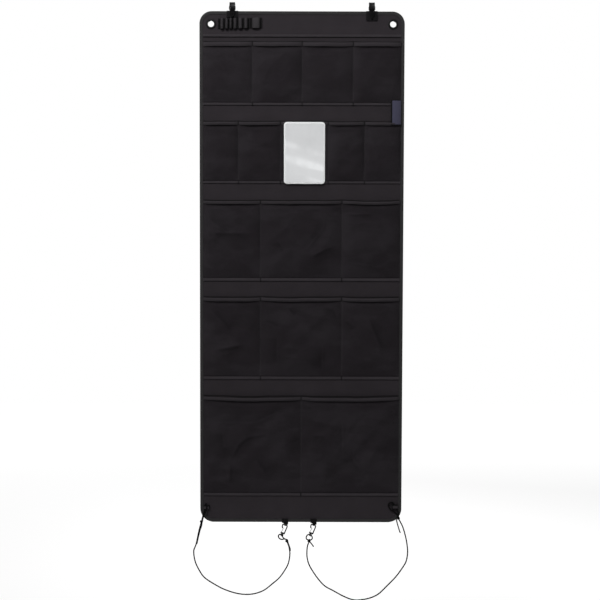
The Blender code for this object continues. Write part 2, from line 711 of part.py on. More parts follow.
def make_hook_tab(side, x, material):
    narrow = HOOK_BASE_WIDTH - 2 * (HOOK_ARM_WIDTH + GAP)
    clear = HOOK_EYE_RADIUS + 2 * GAP
    shoulder = HOOK_BAR_RISE + HOOK_TAB_SHOULDER
    foot = HOOK_BAR_RISE + HOOK_TAB_LENGTH[side]

    def width_at(along):
        if along <= shoulder:
            share = max(0.0, (along - clear) / (shoulder - clear))
            return narrow + (HOOK_TAB_WIDTH - narrow) * share
        return HOOK_TAB_WIDTH * (1 - 0.8 * (along - shoulder) / (foot - shoulder))

    webbing_tab(
        f"hook_{side}_tab", material, x, HOOK_Y, HOOK_BAR_Z, HOOK_BAR_RADIUS + GAP, -1, foot,
        width_at, levels=(clear, shoulder),
    )


def hook_section(width, thickness_share=1.0):
    """(across, outward) points of the ribbed strip: two raised edges and a lower web on its outer face."""
    half = width / 2
    top = HOOK_THICKNESS / 2 * thickness_share
    web = top - (HOOK_THICKNESS - HOOK_WEB_THICKNESS) * thickness_share
    rib = HOOK_RIB_WIDTH
    return (
        (-half, -top), (half, -top), (half, 0.5 * top), (half - 0.25 * rib, top),
        (half - 0.7 * rib, top), (half - rib, web), (-half + rib, web), (-half + 0.7 * rib, top),
        (-half + 0.25 * rib, top), (-half, 0.5 * top),
    )


def make_hanging_hook(side, x, material):
    """The ribbed strip swept up, over the pole and down behind it, with an eye and a bar at its foot."""
    radius = HOOK_THROAT / 2 + HOOK_THICKNESS / 2
    crown = -HOOK_THROAT / 2
    foot = HOOK_BAR_Z
    path = [(HOOK_Y, foot, 0.0, HOOK_BASE_WIDTH), (HOOK_Y, foot + 0.0035, 0.0, HOOK_BASE_WIDTH)]
    arc_steps = 12
    for k in range(arc_steps + 1):
        turn = math.pi * k / arc_steps
        width = HOOK_CROWN_WIDTH + (HOOK_TIP_WIDTH - HOOK_CROWN_WIDTH) * max(0.0, turn / math.pi - 0.5) * 2
        path.append((-radius * math.cos(turn), crown + radius * math.sin(turn), turn, width))
    flare = math.atan2(HOOK_TIP_FLARE, HOOK_BACK_LENGTH * 0.5)
    low = crown - HOOK_BACK_LENGTH * 0.5
    path.append((radius, low, math.pi, HOOK_TIP_WIDTH))
    path.append((radius + HOOK_TIP_FLARE, crown - HOOK_BACK_LENGTH, math.pi - flare, HOOK_TIP_WIDTH))
    rings = []
    for y, z, turn, width in path:
        outward = (-math.cos(turn), math.sin(turn))
        rings.append([(x + a, y + b * outward[0], z + b * outward[1]) for a, b in hook_section(width)])
    name = f"hanging_hook_{side}"
    hook = add_object(name, loft(name, rings), material, smooth=40)
    inner_half = HOOK_BASE_WIDTH / 2 - HOOK_ARM_WIDTH
    window_top = HOOK_BAR_Z + HOOK_BAR_RADIUS + GAP + WEBBING_THICKNESS + GAP
    window = strip(
        f"{name}_window",
        ((-inner_half, HOOK_BAR_Z - 0.01), (inner_half, HOOK_BAR_Z - 0.01), (inner_half, window_top),
         (-inner_half, window_top)),
        lambda a, b, c: (x + a, c, b), HOOK_Y - 0.01, HOOK_Y + 0.01,
    )
    combine(hook, window, "DIFFERENCE")
    for hand in (-1, 1):
        edges = sorted((x + hand * inner_half, x + hand * HOOK_BASE_WIDTH / 2))
        combine(hook, cylinder(f"{name}_eye", (HOOK_Y, HOOK_BAR_Z), HOOK_EYE_RADIUS, "X", *edges), "UNION")
    overlap = inner_half + HOOK_ARM_WIDTH / 2
    bar = cylinder(f"{name}_bar", (HOOK_Y, HOOK_BAR_Z), HOOK_BAR_RADIUS, "X", x - overlap, x + overlap)
    combine(hook, bar, "UNION")


def clip_point(x, u, w, y=0.0):
    """A point of a clip: u across it, w down it from the bar in its tab, and y from its plane."""
    turned_u = u * math.cos(CLIP_LEAN) - w * math.sin(CLIP_LEAN)
    turned_w = w * math.cos(CLIP_LEAN) + u * math.sin(CLIP_LEAN)
    return Vector((x + turned_u, CLIP_Y + y, CLIP_BAR_Z - turned_w))


def make_clip_tab(side, x, material):
    length = CLIP_DROP + CLIP_TAB_SEWN
    bore = CLIP_WIRE_RADIUS + GAP
    edge = CLIP_DROP

    def width_at(along):
        share = max(0.0, min(1.0, (along - bore) / (edge - bore)))
        return CLIP_TAB_LOOP_WIDTH + (CLIP_TAB_WIDTH - CLIP_TAB_LOOP_WIDTH) * share

    webbing_tab(
        f"clip_{side}_tab", material, x, CLIP_Y, CLIP_BAR_Z, bore, 1, length, width_at,
        lean=CLIP_LEAN, levels=(edge,),
    )


def make_clip_body(side, x, metal):
    """A bent wire with a hooked nose, a straight bar in the tab, a spine, a collar and an eye for the cord."""
    name = f"clip_{side}_body"
    loop_radius = CLIP_WIRE_RADIUS + GAP + WEBBING_THICKNESS
    half_bar = CLIP_TAB_LOOP_WIDTH / 2 + loop_radius * math.tan(CLIP_LEAN) + GAP
    wire = [(-0.0036, 0.0094), (-0.0047, 0.0073), (-0.0054, 0.0050), (-0.0055, 0.0028), (-0.0050, 0.0009),
            (-half_bar, 0.0), (half_bar, 0.0), (0.0053, 0.0008), (0.0063, 0.0025), (0.0064, 0.0045),
            (0.0062, 0.0080), (0.0052, CLIP_COLLAR_TOP + 0.0015)]
    points = [clip_point(x, u, w) for u, w in wire]
    body = add_object(name, tube_mesh(name, points, CLIP_WIRE_RADIUS), metal, smooth=50)
    left, right = CLIP_COLLAR_LEFT, CLIP_COLLAR_RIGHT
    outline = rounded_rectangle(
        ((left + right) / 2, (CLIP_COLLAR_TOP + CLIP_COLLAR_BOTTOM) / 2),
        (right - left, CLIP_COLLAR_BOTTOM - CLIP_COLLAR_TOP), 0.0012, steps=3,
    )
    depth = CLIP_COLLAR_HALF_DEPTH
    collar = strip(f"{name}_collar", outline, lambda u, w, c: clip_point(x, u, w, c), -depth, depth)
    combine(body, collar, "UNION")
    ring = []
    for k in range(14):
        angle = 2 * math.pi * k / 14
        section = []
        for j in range(8):
            roll = 2 * math.pi * j / 8
            reach = CLIP_EYE_RADIUS + CLIP_EYE_WIRE_RADIUS * math.cos(roll)
            section.append(
                clip_point(x, 0.0006 + reach * math.cos(angle), CLIP_EYE_DROP + reach * math.sin(angle),
                           CLIP_EYE_WIRE_RADIUS * math.sin(roll))
            )
        ring.append(section)
    combine(body, loft(f"{name}_eye", ring, closed=True), "UNION")
    sides = CLIP_COLLAR_HALF_DEPTH + 0.001
    pivot = clip_point(x, *GATE_PIVOT)
    socket = cylinder(
        f"{name}_socket", (pivot.x, pivot.z), GATE_WIRE_RADIUS + GAP, "Y", CLIP_Y - sides, CLIP_Y + sides, 10
    )
    combine(body, socket, "DIFFERENCE")


def make_clip_gate(side, x, metal):
    """A wire bail: its bent ends turn in the collar, and its cross piece shuts against the nose from inside."""
    name = f"clip_{side}_gate"
    out = CLIP_COLLAR_HALF_DEPTH + GAP + GATE_WIRE_RADIUS
    pivot_u, pivot_w = GATE_PIVOT
    shut_u = -0.0036 + CLIP_WIRE_RADIUS + GATE_WIRE_RADIUS + GAP + 0.0004
    half = 0.0016
    wire = (
        (pivot_u, pivot_w, -0.0004), (pivot_u, pivot_w, -out + 0.0004), (pivot_u, pivot_w - 0.0005, -out),
        (pivot_u + 0.0003, CLIP_COLLAR_TOP - 0.002, -out), (shut_u, GATE_TOP + 0.0012, -half),
        (shut_u, GATE_TOP, -half + 0.0005), (shut_u, GATE_TOP, half - 0.0005),
        (shut_u, GATE_TOP + 0.0012, half), (pivot_u + 0.0003, CLIP_COLLAR_TOP - 0.002, out),
        (pivot_u, pivot_w - 0.0005, out), (pivot_u, pivot_w, out - 0.0004), (pivot_u, pivot_w, 0.0004),
    )
    points = [clip_point(x, u, w, y) for u, w, y in wire]
    add_object(name, tube_mesh(name, points, GATE_WIRE_RADIUS, 1), metal, smooth=60)


def make_corner_loop(side, hand, material):
    """A webbing loop sewn beside the side binding, standing off the panel so that a cord passes down through it."""
    t = BINDING_THICKNESS
    outer = hand * SHEET_HALF_WIDTH
    inner = hand * (SHEET_HALF_WIDTH - CORNER_LOOP_REACH)
    low, high = sorted((outer, inner))
    rear = SHEET_BACK
    front = rear - 2 * t - CORNER_LOOP_ROOM

    def stadium(shrink):
        radius = (rear - front) / 2 - shrink
        middle = (rear + front) / 2
        points = []
        for end, start in ((high, -90), (low, 90)):
            centre = end - math.copysign((rear - front) / 2, end - (low + high) / 2)
            for k in range(7):
                angle = math.radians(start + 180 * k / 6)
                points.append((centre + radius * math.cos(angle), middle + radius * math.sin(angle)))
        return points

    name = f"corner_loop_{side}"
    top = at_depth(CORNER_LOOP_TOP + CORNER_LOOP_DEPTH[side])
    foot = top - CORNER_LOOP_WIDTH

    def place(a, b, c):
        return (a, b, c)

    loop = add_object(name, strip(name, stadium(0.0), place, foot, top), material, smooth=50)
    hole = strip(f"{name}_room", stadium(t), place, foot - 0.002, top + 0.002)
    combine(loop, hole, "DIFFERENCE")


def in_space(route):
    """(x, depth, y) points as places in space."""
    return [Vector((x, y, at_depth(depth))) for x, depth, y in route]


def straight_ends(points):
    """Where the cord leaves its two knots: (first point, second point) at each end, square to the knot's stub."""
    reach = KNOT_RADIUS + KNOT_STUB + GAP
    found = []
    for knot, toward in ((points[0], points[1]), (points[-1], points[-2])):
        direction = (toward - knot).normalized()
        found.append((knot + direction * reach, knot + direction * (reach + CORD_DIAMETER)))
    return found


def make_cord(side, route, material):
    points = in_space(route)
    (start, start_straight), (end, end_straight) = straight_ends(points)
    middle = smooth_curve([start_straight, *points[1:-1], end_straight], CORD_STEP)
    cord = tube_curve(f"cord_{side}", [start, *middle, end], CORD_RADIUS)
    cord.data.materials.append(material)


def make_knot(name, material, centre, toward, paths):
    """A knot in the cord: its ball, a stub that meets the cord's free stretch, and its loop and tail."""
    bm = bmesh.new()
    bmesh.ops.create_icosphere(bm, subdivisions=2, radius=KNOT_RADIUS)
    direction = (toward - centre).normalized()
    turn = direction.to_track_quat("Z", "Y").to_matrix().to_4x4() @ Matrix.Rotation(KNOT_TWIST, 4, "Z")
    shape = Matrix.Diagonal((*KNOT_SHAPE, 1.0))
    bmesh.ops.transform(bm, matrix=Matrix.Translation(centre) @ turn @ shape, verts=bm.verts)
    knot = add_object(name, mesh_of(name, bm), material, smooth=60)
    stub = [centre, centre + direction * (KNOT_RADIUS + KNOT_STUB)]
    for number, path in enumerate([stub, *paths]):
        combine(knot, tube_mesh(f"{name}_{number}", path, CORD_RADIUS), "UNION")


def make_corner_knot(side, hand, route, material):
    """The cord's loop round the corner webbing, its knot and its tail."""
    centre, toward = in_space(route[:2])
    apart = Vector((KNOT_STRANDS_APART, 0, 0))
    front = PANEL_FRONT - BINDING_STACK - GAP - CORD_RADIUS
    inside = SHEET_BACK - BINDING_THICKNESS - CORNER_LOOP_ROOM / 2
    outside = SHEET_BACK - 2 * BINDING_THICKNESS - CORNER_LOOP_ROOM - GAP - CORD_RADIUS - 0.0002
    middle = SHEET_HALF_WIDTH - CORNER_LOOP_REACH / 2
    top = CORNER_LOOP_TOP + CORNER_LOOP_DEPTH[side]
    around = (
        (0.0048, 0.0245, front - 0.0004), (0.0009, 0.0145, outside + 0.0008), (-0.0002, 0.0045, outside),
        (0.0005, -0.0015, outside + 0.0006), (0.0018, -0.0033, (inside + outside) / 2),
        (0.0029, -0.0015, inside - 0.0002), (0.0035, 0.0045, inside), (0.0051, 0.0130, inside),
        (0.0087, 0.0235, front - 0.0004),
    )
    loop = in_space([(hand * (middle + out), top + down, y) for out, down, y in around])
    tails = {
        "left": ((-0.2432, 1.2565, -0.0085), (-0.2450, 1.2640, -0.0090), (-0.2484, 1.2740, -0.0096),
                 (-0.2555, 1.3040, -0.0106)),
        "right": ((0.2400, 1.2500, -0.0108), (0.2418, 1.2620, -0.0110), (0.2465, 1.2790, -0.0112)),
    }
    paths = (
        smooth_curve([centre - apart * hand, *loop, centre + apart * hand], 0.0035),
        smooth_curve([centre, *in_space(tails[side])], 0.008),
    )
    make_knot(f"cord_{side}_corner_knot", material, centre, toward, paths)


def make_clip_knot(side, x, route, material):
    """The cord's loop through the clip's eye, its knot and its tail."""
    toward, centre = in_space(route[-2:])
    apart = Vector((0, KNOT_STRANDS_APART, 0))
    eye = clip_point(x, 0.0006, CLIP_EYE_DROP)
    reach = 0.0034
    front = eye + Vector((-0.0004, -reach, 0.0010))
    back = eye + Vector((0.0004, reach, -0.0010))
    y = CLIP_Y
    loops = {
        "left": (
            ((-0.0405, 1.2935, y - 0.0022), (-0.0470, 1.2945, y - 0.0032), (-0.0530, 1.2915, y - 0.0036),
             (-0.0555, 1.2860, y - 0.0038), (-0.0525, 1.2815, y - 0.0046)),
            ((-0.0448, 1.2900, y + 0.0036), (-0.0390, 1.2952, y + 0.0024)),
        ),
        "right": (
            ((0.0150, 1.2945, y - 0.0016), (0.0135, 1.2890, y - 0.0030), (0.0160, 1.2836, y - 0.0042),
             (0.0200, 1.2812, y - 0.0048)),
            ((0.0278, 1.2885, y + 0.0036), (0.0285, 1.2935, y + 0.0026), (0.0245, 1.2968, y + 0.0012)),
        ),
    }
    before, after = (in_space(part) for part in loops[side])
    tails = {
        "left": ((-0.0300, 1.3022, y), (-0.0252, 1.3110, y), (-0.0236, 1.3190, y)),
        "right": ((0.0252, 1.3042, y), (0.0314, 1.3123, y)),
    }
    paths = (
        smooth_curve([centre - apart, *before, front, eye, back, *after, centre + apart], 0.0035),
        smooth_curve([centre, *in_space(tails[side])], 0.006),
    )
    make_knot(f"cord_{side}_clip_knot", material, centre, toward, paths)


def main():
    clear_scene()
    cloth = finish("panel_cloth", (0.030, 0.028, 0.031), 0.9)
    mesh_cloth = finish("pocket_mesh", (0.017, 0.016, 0.018), 0.95)
    tape = finish("hem_tape", (0.045, 0.042, 0.047), 0.85)
    binding = finish("binding_tape", (0.036, 0.036, 0.036), 0.8)
    webbing = finish("black_webbing", (0.010, 0.010, 0.011), 0.85)
    elastic = finish("elastic_webbing", (0.022, 0.021, 0.024), 0.85)
    plastic = finish("hook_plastic", (0.030, 0.030, 0.032), 0.4)
    black_metal = finish("black_metal", (0.020, 0.020, 0.021), 0.35, 0.9)
    bright_wire = finish("bright_wire", (0.60, 0.60, 0.61), 0.25, 1.0)
    mirror_glass = finish("mirror_glass", (0.80, 0.81, 0.82), 0.05, 1.0)
    label_cloth = finish("label_cloth", (0.058, 0.058, 0.088), 0.8)
    cord = finish("elastic_cord", (0.020, 0.020, 0.022), 0.8)

    make_backing_panel(cloth)
    make_edge_binding(binding)
    flat_tape(
        "header_tape", tape, (-SHEET_HALF_WIDTH, SHEET_HALF_WIDTH),
        (HEADER_DEPTH, HEADER_FOOT), SHEET_BACK, HEADER_THICKNESS,
    )
    make_tool_elastic(elastic)
    for row in ROWS:
        make_pocket_row(row, mesh_cloth, tape)
    make_side_label(label_cloth)
    make_mirror(mirror_glass, webbing)
    for side, hand, route in (("left", -1, LEFT_ROUTE), ("right", 1, RIGHT_ROUTE)):
        make_eyelet(side, hand * EYELET_X, black_metal)
        hook_x = hand * HOOK_SPACING / 2
        make_hook_patch(side, hook_x, webbing)
        make_hook_tab(side, hook_x, webbing)
        make_hanging_hook(side, hook_x, plastic)
        make_corner_loop(side, hand, webbing)
        make_corner_knot(side, hand, route, cord)
        make_cord(side, route, cord)
    for (side, x), route in zip(CLIP_PLACES, (LEFT_ROUTE, RIGHT_ROUTE)):
        make_clip_tab(side, x, webbing)
        make_clip_body(side, x, black_metal)
        make_clip_gate(side, x, bright_wire)
        make_clip_knot(side, x, route, cord)


main()
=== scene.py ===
"""The looks of a hanging tent organizer, built round its CAD frame.

Metres, +Z up. The front looks towards -Y, and +X is the right side seen from the front. A depth is the way
down from the panel's top edge. The routes, pocket rows and clip shapes repeat the CAD source's own numbers.
"""

import math

import bmesh
import bpy
from mathutils import Matrix, Vector, noise


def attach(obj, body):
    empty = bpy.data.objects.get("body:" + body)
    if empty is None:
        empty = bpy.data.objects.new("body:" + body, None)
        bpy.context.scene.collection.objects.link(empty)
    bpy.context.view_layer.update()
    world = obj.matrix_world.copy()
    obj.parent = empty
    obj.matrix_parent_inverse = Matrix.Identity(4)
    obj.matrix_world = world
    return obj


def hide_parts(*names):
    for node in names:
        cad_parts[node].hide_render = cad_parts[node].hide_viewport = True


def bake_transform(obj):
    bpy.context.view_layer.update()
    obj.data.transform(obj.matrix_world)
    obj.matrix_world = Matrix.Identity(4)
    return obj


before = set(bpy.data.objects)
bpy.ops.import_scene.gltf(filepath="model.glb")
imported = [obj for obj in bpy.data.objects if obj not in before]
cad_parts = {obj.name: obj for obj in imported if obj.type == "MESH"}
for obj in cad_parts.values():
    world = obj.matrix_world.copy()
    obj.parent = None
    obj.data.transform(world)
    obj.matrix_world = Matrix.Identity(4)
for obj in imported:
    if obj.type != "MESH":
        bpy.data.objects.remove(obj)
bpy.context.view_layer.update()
scene = bpy.context.scene

# Clearance between two pieces that touch
GAP = 0.0003

# Panel and binding
PANEL_WIDTH = 0.498
PANEL_THICKNESS = 0.0012
TOP_CORNER_RADIUS = 0.030
BOTTOM_CORNER_RADIUS = 0.034
BINDING_WIDTH = 0.008
BINDING_THICKNESS = 0.0008
BINDING_SEAM_INSET = 0.0062
PANEL_FRONT = -0.00625
PANEL_BACK = PANEL_FRONT + PANEL_THICKNESS
PANEL_TOP = -0.0175
BINDING_STACK = GAP + BINDING_THICKNESS
# The panel's cloth: rows of points up it, how far it swells back between its seams, and over what length
BACKING_ROWS = 225
QUILT_DEPTH = 0.0013
QUILT_EASE = 0.02

# Seams: their stitches, the thread, how deep it lies in the cloth, and where its seams run on a tape
STITCH_PITCH = 0.0034
STITCH_SHARE = 0.80
THREAD_RADIUS = 0.00024
HEAVY_THREAD_RADIUS = 0.0003
THREAD_SEAT = 0.0001
SEAM_DIP = 0.00016
SEAM_DIP_HALF = 0.0007
SEAM_END = 0.002
TAPE_SEAM_INSET = 0.0013
TWIN_SEAM_HALF = 0.0010
BAR_HALF = 0.0014
BAR_PITCH = 0.00045

# Hooks with their patches and tabs
HOOK_XS = {"left": -0.169, "right": 0.169}
HOOK_Y = -0.00975
HOOK_BAR_Z = -0.0128
HOOK_THROAT = 0.016
HOOK_THICKNESS = 0.0035
HOOK_WEB_THICKNESS = 0.0022
HOOK_RIB_WIDTH = 0.0025
HOOK_CROWN_WIDTH = 0.0141
HOOK_CROWN_RISE = 0.0018
HOOK_BASE_WIDTH = 0.0162
HOOK_TIP_WIDTH = 0.0118
HOOK_BACK_LENGTH = 0.008
HOOK_TIP_FLARE = 0.0025
HOOK_BAR_RADIUS = 0.0016
HOOK_EYE_RADIUS = 0.0024
HOOK_ARM_WIDTH = 0.0021
PATCH_WIDTH = 0.028
PATCH_HEIGHT = {"left": 0.0152, "right": 0.0220}
PATCH_THICKNESS = 0.0008
PATCH_SEAM_INSET = 0.0017
WEBBING_THICKNESS = 0.0010
HOOK_TAB_WIDTH = 0.0145
HOOK_TAB_SHOULDER = 0.0107
HOOK_TAB_FOOT = {"left": 0.0195, "right": 0.0237}
HOOK_WINDOW = HOOK_BAR_Z + HOOK_BAR_RADIUS + GAP + WEBBING_THICKNESS + GAP
# How far each of a tab's two layers lies from its middle
TAB_LAYER_GAP = 0.00005
TAB_SEAM_INSET = 0.0016
TAB_SEAM_DROP = 0.0022
TAB_STITCH_PITCH = 0.0022

# Eyelets
EYELET_XS = {"left": -0.221, "right": 0.221}
EYELET_DEPTH = 0.0307
EYELET_BORE = 0.0075
EYELET_BARREL = 0.0083
EYELET_FLANGE = 0.0125
EYELET_HEIGHT = 0.0013
EYELET_ROLL = 0.0100
WASHER_RADIUS = 0.0120
WASHER_THICKNESS = 0.0008

# Tape across the head, and the elastic with loops: (flat stretch before the loop, its width, its height)
HEADER_DEPTH = 0.0557
HEADER_HEIGHT = 0.0060
HEADER_THICKNESS = 0.0012
ELASTIC_LEFT = -0.2052
ELASTIC_END = 0.0039
ELASTIC_DEPTH = 0.0295
ELASTIC_HEIGHT = 0.025
ELASTIC_THICKNESS = 0.0010
ELASTIC_LEAN = math.radians(1.3)
ELASTIC_LOOPS = (
    (0.0059, 0.0109, 0.0080),
    (0.0, 0.0109, 0.0080),
    (0.0, 0.0092, 0.0080),
    (0.0, 0.0117, 0.0080),
    (0.0, 0.0140, 0.0078),
    (0.0, 0.0126, 0.0080),
    (0.0071, 0.0230, 0.0072),
)

# Rows of pockets: (mouth, hem, drop to the tape, tape, sag, dividers, how far each pocket stands out)
SHEET_THICKNESS = 0.0010
HEM_THICKNESS = 0.0008
TAPE_THICKNESS = 0.0008
DRAW_IN = 0.22
SEAM_EASE = 0.0006
SEAM_X = 0.2407
SHEET_BACK = PANEL_FRONT - GAP
HEM_LIFT = HEM_THICKNESS + GAP
HEM_SEAM_INSET = 0.0016
HEM_SEAM_PUFF = 0.62
# How much painted shade lies on a hem or tape where a divider pinches it
DIVIDER_SHADE = 0.9
SHEET_STEP = 0.0024
ROWS = (
    {"name": "row1", "mouth": 0.0737, "drop": 0.1468, "hem": 0.0101, "tape": 0.0056, "sag": 0.0018,
     "dividers": (-0.1205, 0.0006, 0.1246), "depths": (0.011, 0.011, 0.011, 0.011), "folds": 0.0},
    {"name": "row2", "mouth": 0.2657, "drop": 0.1447, "hem": 0.0080, "tape": 0.0051, "sag": 0.0016,
     "dividers": (-0.1545, -0.0518, 0.0645, 0.1529), "depths": (0.010, 0.011, 0.0, 0.011, 0.010),
     "folds": 0.0},
    {"name": "row3", "mouth": 0.4574, "drop": 0.1896, "hem": 0.0075, "tape": 0.0071, "sag": 0.0016,
     "dividers": (-0.1005, 0.0985), "depths": (0.012, 0.013, 0.012), "folds": 0.0008},
    {"name": "row4", "mouth": 0.6937, "drop": 0.1957, "hem": 0.0086, "tape": 0.0069, "sag": 0.0016,
     "dividers": (-0.1005, 0.0990), "depths": (0.012, 0.013, 0.012), "folds": 0.0008},
    {"name": "row5", "mouth": 0.9382, "drop": 0.2409, "hem": 0.0087, "tape": 0.0065, "sag": 0.0018,
     "dividers": (0.0,), "depths": (0.014, 0.014), "folds": 0.0016},
)
PANEL_HEIGHT = 1.252
FOLD_LENGTH = 0.075
# How far the cloth's own folds stand out, and how deep the valley under the hem is
WIDE_FOLD = 0.0024
RIDGED_FOLD = 0.0013
SMALL_FOLD = 0.0007
VALLEY_UNDER_HEM = 0.0022
# Creases in the pockets' cloth, as (x, depth) places; going along one, its side of painted shade is on the
# right
CREASE_REACH = 0.05
CREASE_SHADE = 0.36
CREASE_SHADE_LENGTH = 0.014
CREASE_HEIGHT = 0.0018
CREASE_WIDTH = 0.0045
CREASES = {
    "row3": (
        ((-0.1849, 0.5324), (-0.2313, 0.4983)), ((-0.2289, 0.5374), (-0.1262, 0.5395)),
        ((-0.0578, 0.5540), (-0.0430, 0.5833)), ((0.0569, 0.4927), (0.0497, 0.5244), (0.0059, 0.5832)),
        ((0.0206, 0.5978), (0.0572, 0.5781), (0.0865, 0.5658)),
        ((0.2238, 0.6119), (0.1797, 0.6169), (0.1063, 0.6049)), ((0.1058, 0.4926), (0.1790, 0.4900)),
    ),
    "row4": (
        ((-0.1703, 0.7848), (-0.1899, 0.7553), (-0.2242, 0.7234)), ((-0.2121, 0.8243), (-0.1384, 0.8118)),
        ((-0.0525, 0.7648), (-0.0967, 0.7526)), ((-0.0158, 0.7376), (-0.0330, 0.7205)),
        ((-0.0600, 0.7870), (-0.0600, 0.8600)), ((0.0510, 0.8060), (0.0490, 0.8800)),
        ((0.0528, 0.7178), (0.0798, 0.7251), (0.0898, 0.7546)), ((0.1094, 0.7496), (0.1316, 0.7692)),
        ((0.2006, 0.8257), (0.1857, 0.7937), (0.1633, 0.7396)),
    ),
    "row5": (
        ((-0.0152, 0.9598), (-0.0596, 0.9747), (-0.1088, 0.9997), (-0.2296, 1.0000)),
        ((-0.0010, 1.0416), (-0.0409, 1.0616)), ((-0.1951, 1.0222), (-0.1902, 1.0620), (-0.1729, 1.0719)),
        ((-0.1737, 1.0980), (-0.1519, 1.0569), (-0.1310, 1.0395), (-0.0841, 1.0319)),
        ((-0.1767, 1.1604), (-0.1729, 1.1043)), ((-0.0840, 1.1290), (-0.1119, 1.0941)),
        ((0.0244, 1.0353), (0.0638, 1.0352)), ((0.1006, 0.9917), (0.1011, 1.0911)),
        ((0.1281, 1.0587), (0.1258, 1.0910), (0.1507, 1.1283)),
    ),
}

# Mirror, its tapes, and the label
MIRROR_SIZE = (0.100, 0.150)
MIRROR_CORNER = 0.008
MIRROR_THICKNESS = 0.0025
MIRROR_RIM = 0.0035
MIRROR_RIM_DROP = 0.0008
MIRROR_X = 0.0065
MIRROR_TOP = 0.2670
MIRROR_BACK = SHEET_BACK - HEM_LIFT - SHEET_THICKNESS - GAP - HEM_THICKNESS - GAP
MIRROR_TAPE_WIDTH = 0.080
MIRROR_TAPE_HEIGHT = 0.020
MIRROR_TAPE_INSET = 0.040
LABEL_WIDTH = 0.0250
LABEL_HEIGHT = 0.0612
LABEL_TOP = 0.2130
LABEL_THICKNESS = 0.0006
LABEL_LEAN = math.radians(2.0)
LABEL_CLEARANCE = 0.0007

# Clips, in (u, w): u across the clip and w down it from its bar
CLIP_XS = {"left": -0.0390, "right": 0.0315}
CLIP_DROP = 0.0062
CLIP_LEAN = math.radians(18.0)
CLIP_Y = -0.00865
CLIP_BAR_Z = PANEL_TOP - PANEL_HEIGHT - CLIP_DROP
CLIP_WIRE = 0.00150
CLIP_TAB_WIDTH = 0.0155
CLIP_TAB_LOOP_WIDTH = 0.0054
CLIP_TAB_SEWN = 0.0085
COLLAR = {"left": -0.0046, "right": 0.0064, "top": 0.0200, "foot": 0.0234, "half_depth": 0.0019}
CLIP_EYE_RADIUS = 0.0029
CLIP_EYE_U = 0.0006
CLIP_EYE_WIRE = 0.0009
CLIP_EYE_DROP = 0.0266
CLIP_NOSE = ((-0.0036, 0.0094), (-0.0047, 0.0073), (-0.0054, 0.0050), (-0.0055, 0.0028), (-0.0050, 0.0009))
GATE_WIRE = 0.0005
GATE_PIVOT = (-0.0030, 0.0215)
GATE_TOP = 0.0088

# Corner loops and cords: (x, depth, y) along each route
LOOP_REACH = 0.016
LOOP_WIDTH = 0.0095
LOOP_TOP = {"left": PANEL_HEIGHT - 0.0425, "right": PANEL_HEIGHT - 0.0450}
LOOP_ROOM = 0.0035
CORD_DIAMETER = 0.0025
ROUTES = {
    "left": (
        (-0.2460, 1.2505, -0.0095), (-0.2520, 1.2726, -0.0100), (-0.2591, 1.3065, -0.0110),
        (-0.2651, 1.3239, -0.0115), (-0.2619, 1.3488, -0.0120), (-0.2525, 1.3702, -0.0125),
        (-0.2374, 1.3913, -0.0125), (-0.2048, 1.4125, -0.0120), (-0.1822, 1.4231, -0.0115),
        (-0.1556, 1.4310, -0.0110), (-0.1327, 1.4332, -0.0105), (-0.1118, 1.4307, -0.0100),
        (-0.0906, 1.4224, -0.0098), (-0.0717, 1.4077, -0.0096), (-0.0526, 1.3908, -0.0094),
        (-0.0375, 1.3692, -0.0092), (-0.0301, 1.3528, -0.0090), (-0.0269, 1.3317, -0.0088),
        (-0.0289, 1.3150, -0.00865), (-0.0346, 1.2990, -0.00865),
    ),
    "right": (
        (0.2415, 1.2410, -0.01065), (0.2523, 1.2623, -0.0110), (0.2592, 1.2854, -0.0115),
        (0.2638, 1.3103, -0.0120), (0.2647, 1.3276, -0.0125), (0.2616, 1.3470, -0.0130),
        (0.2530, 1.3631, -0.0135), (0.2360, 1.3868, -0.0135), (0.2136, 1.4105, -0.0130),
        (0.1925, 1.4310, -0.0125), (0.1700, 1.4416, -0.0120), (0.1431, 1.4464, -0.0115),
        (0.1262, 1.4448, -0.0110), (0.1050, 1.4365, -0.0105), (0.0823, 1.4241, -0.0100),
        (0.0611, 1.4125, -0.0096), (0.0459, 1.3971, -0.0094), (0.0306, 1.3757, -0.0092),
        (0.0201, 1.3566, -0.0090), (0.0156, 1.3372, -0.0088), (0.0160, 1.3161, -0.00865),
        (0.0205, 1.2990, -0.00865),
    ),
}
# The braid's sheath stands a little proud of the cord's own size
BRAID_RADIUS = CORD_DIAMETER / 2 + 0.00035
KNOT_HALF = 0.0040
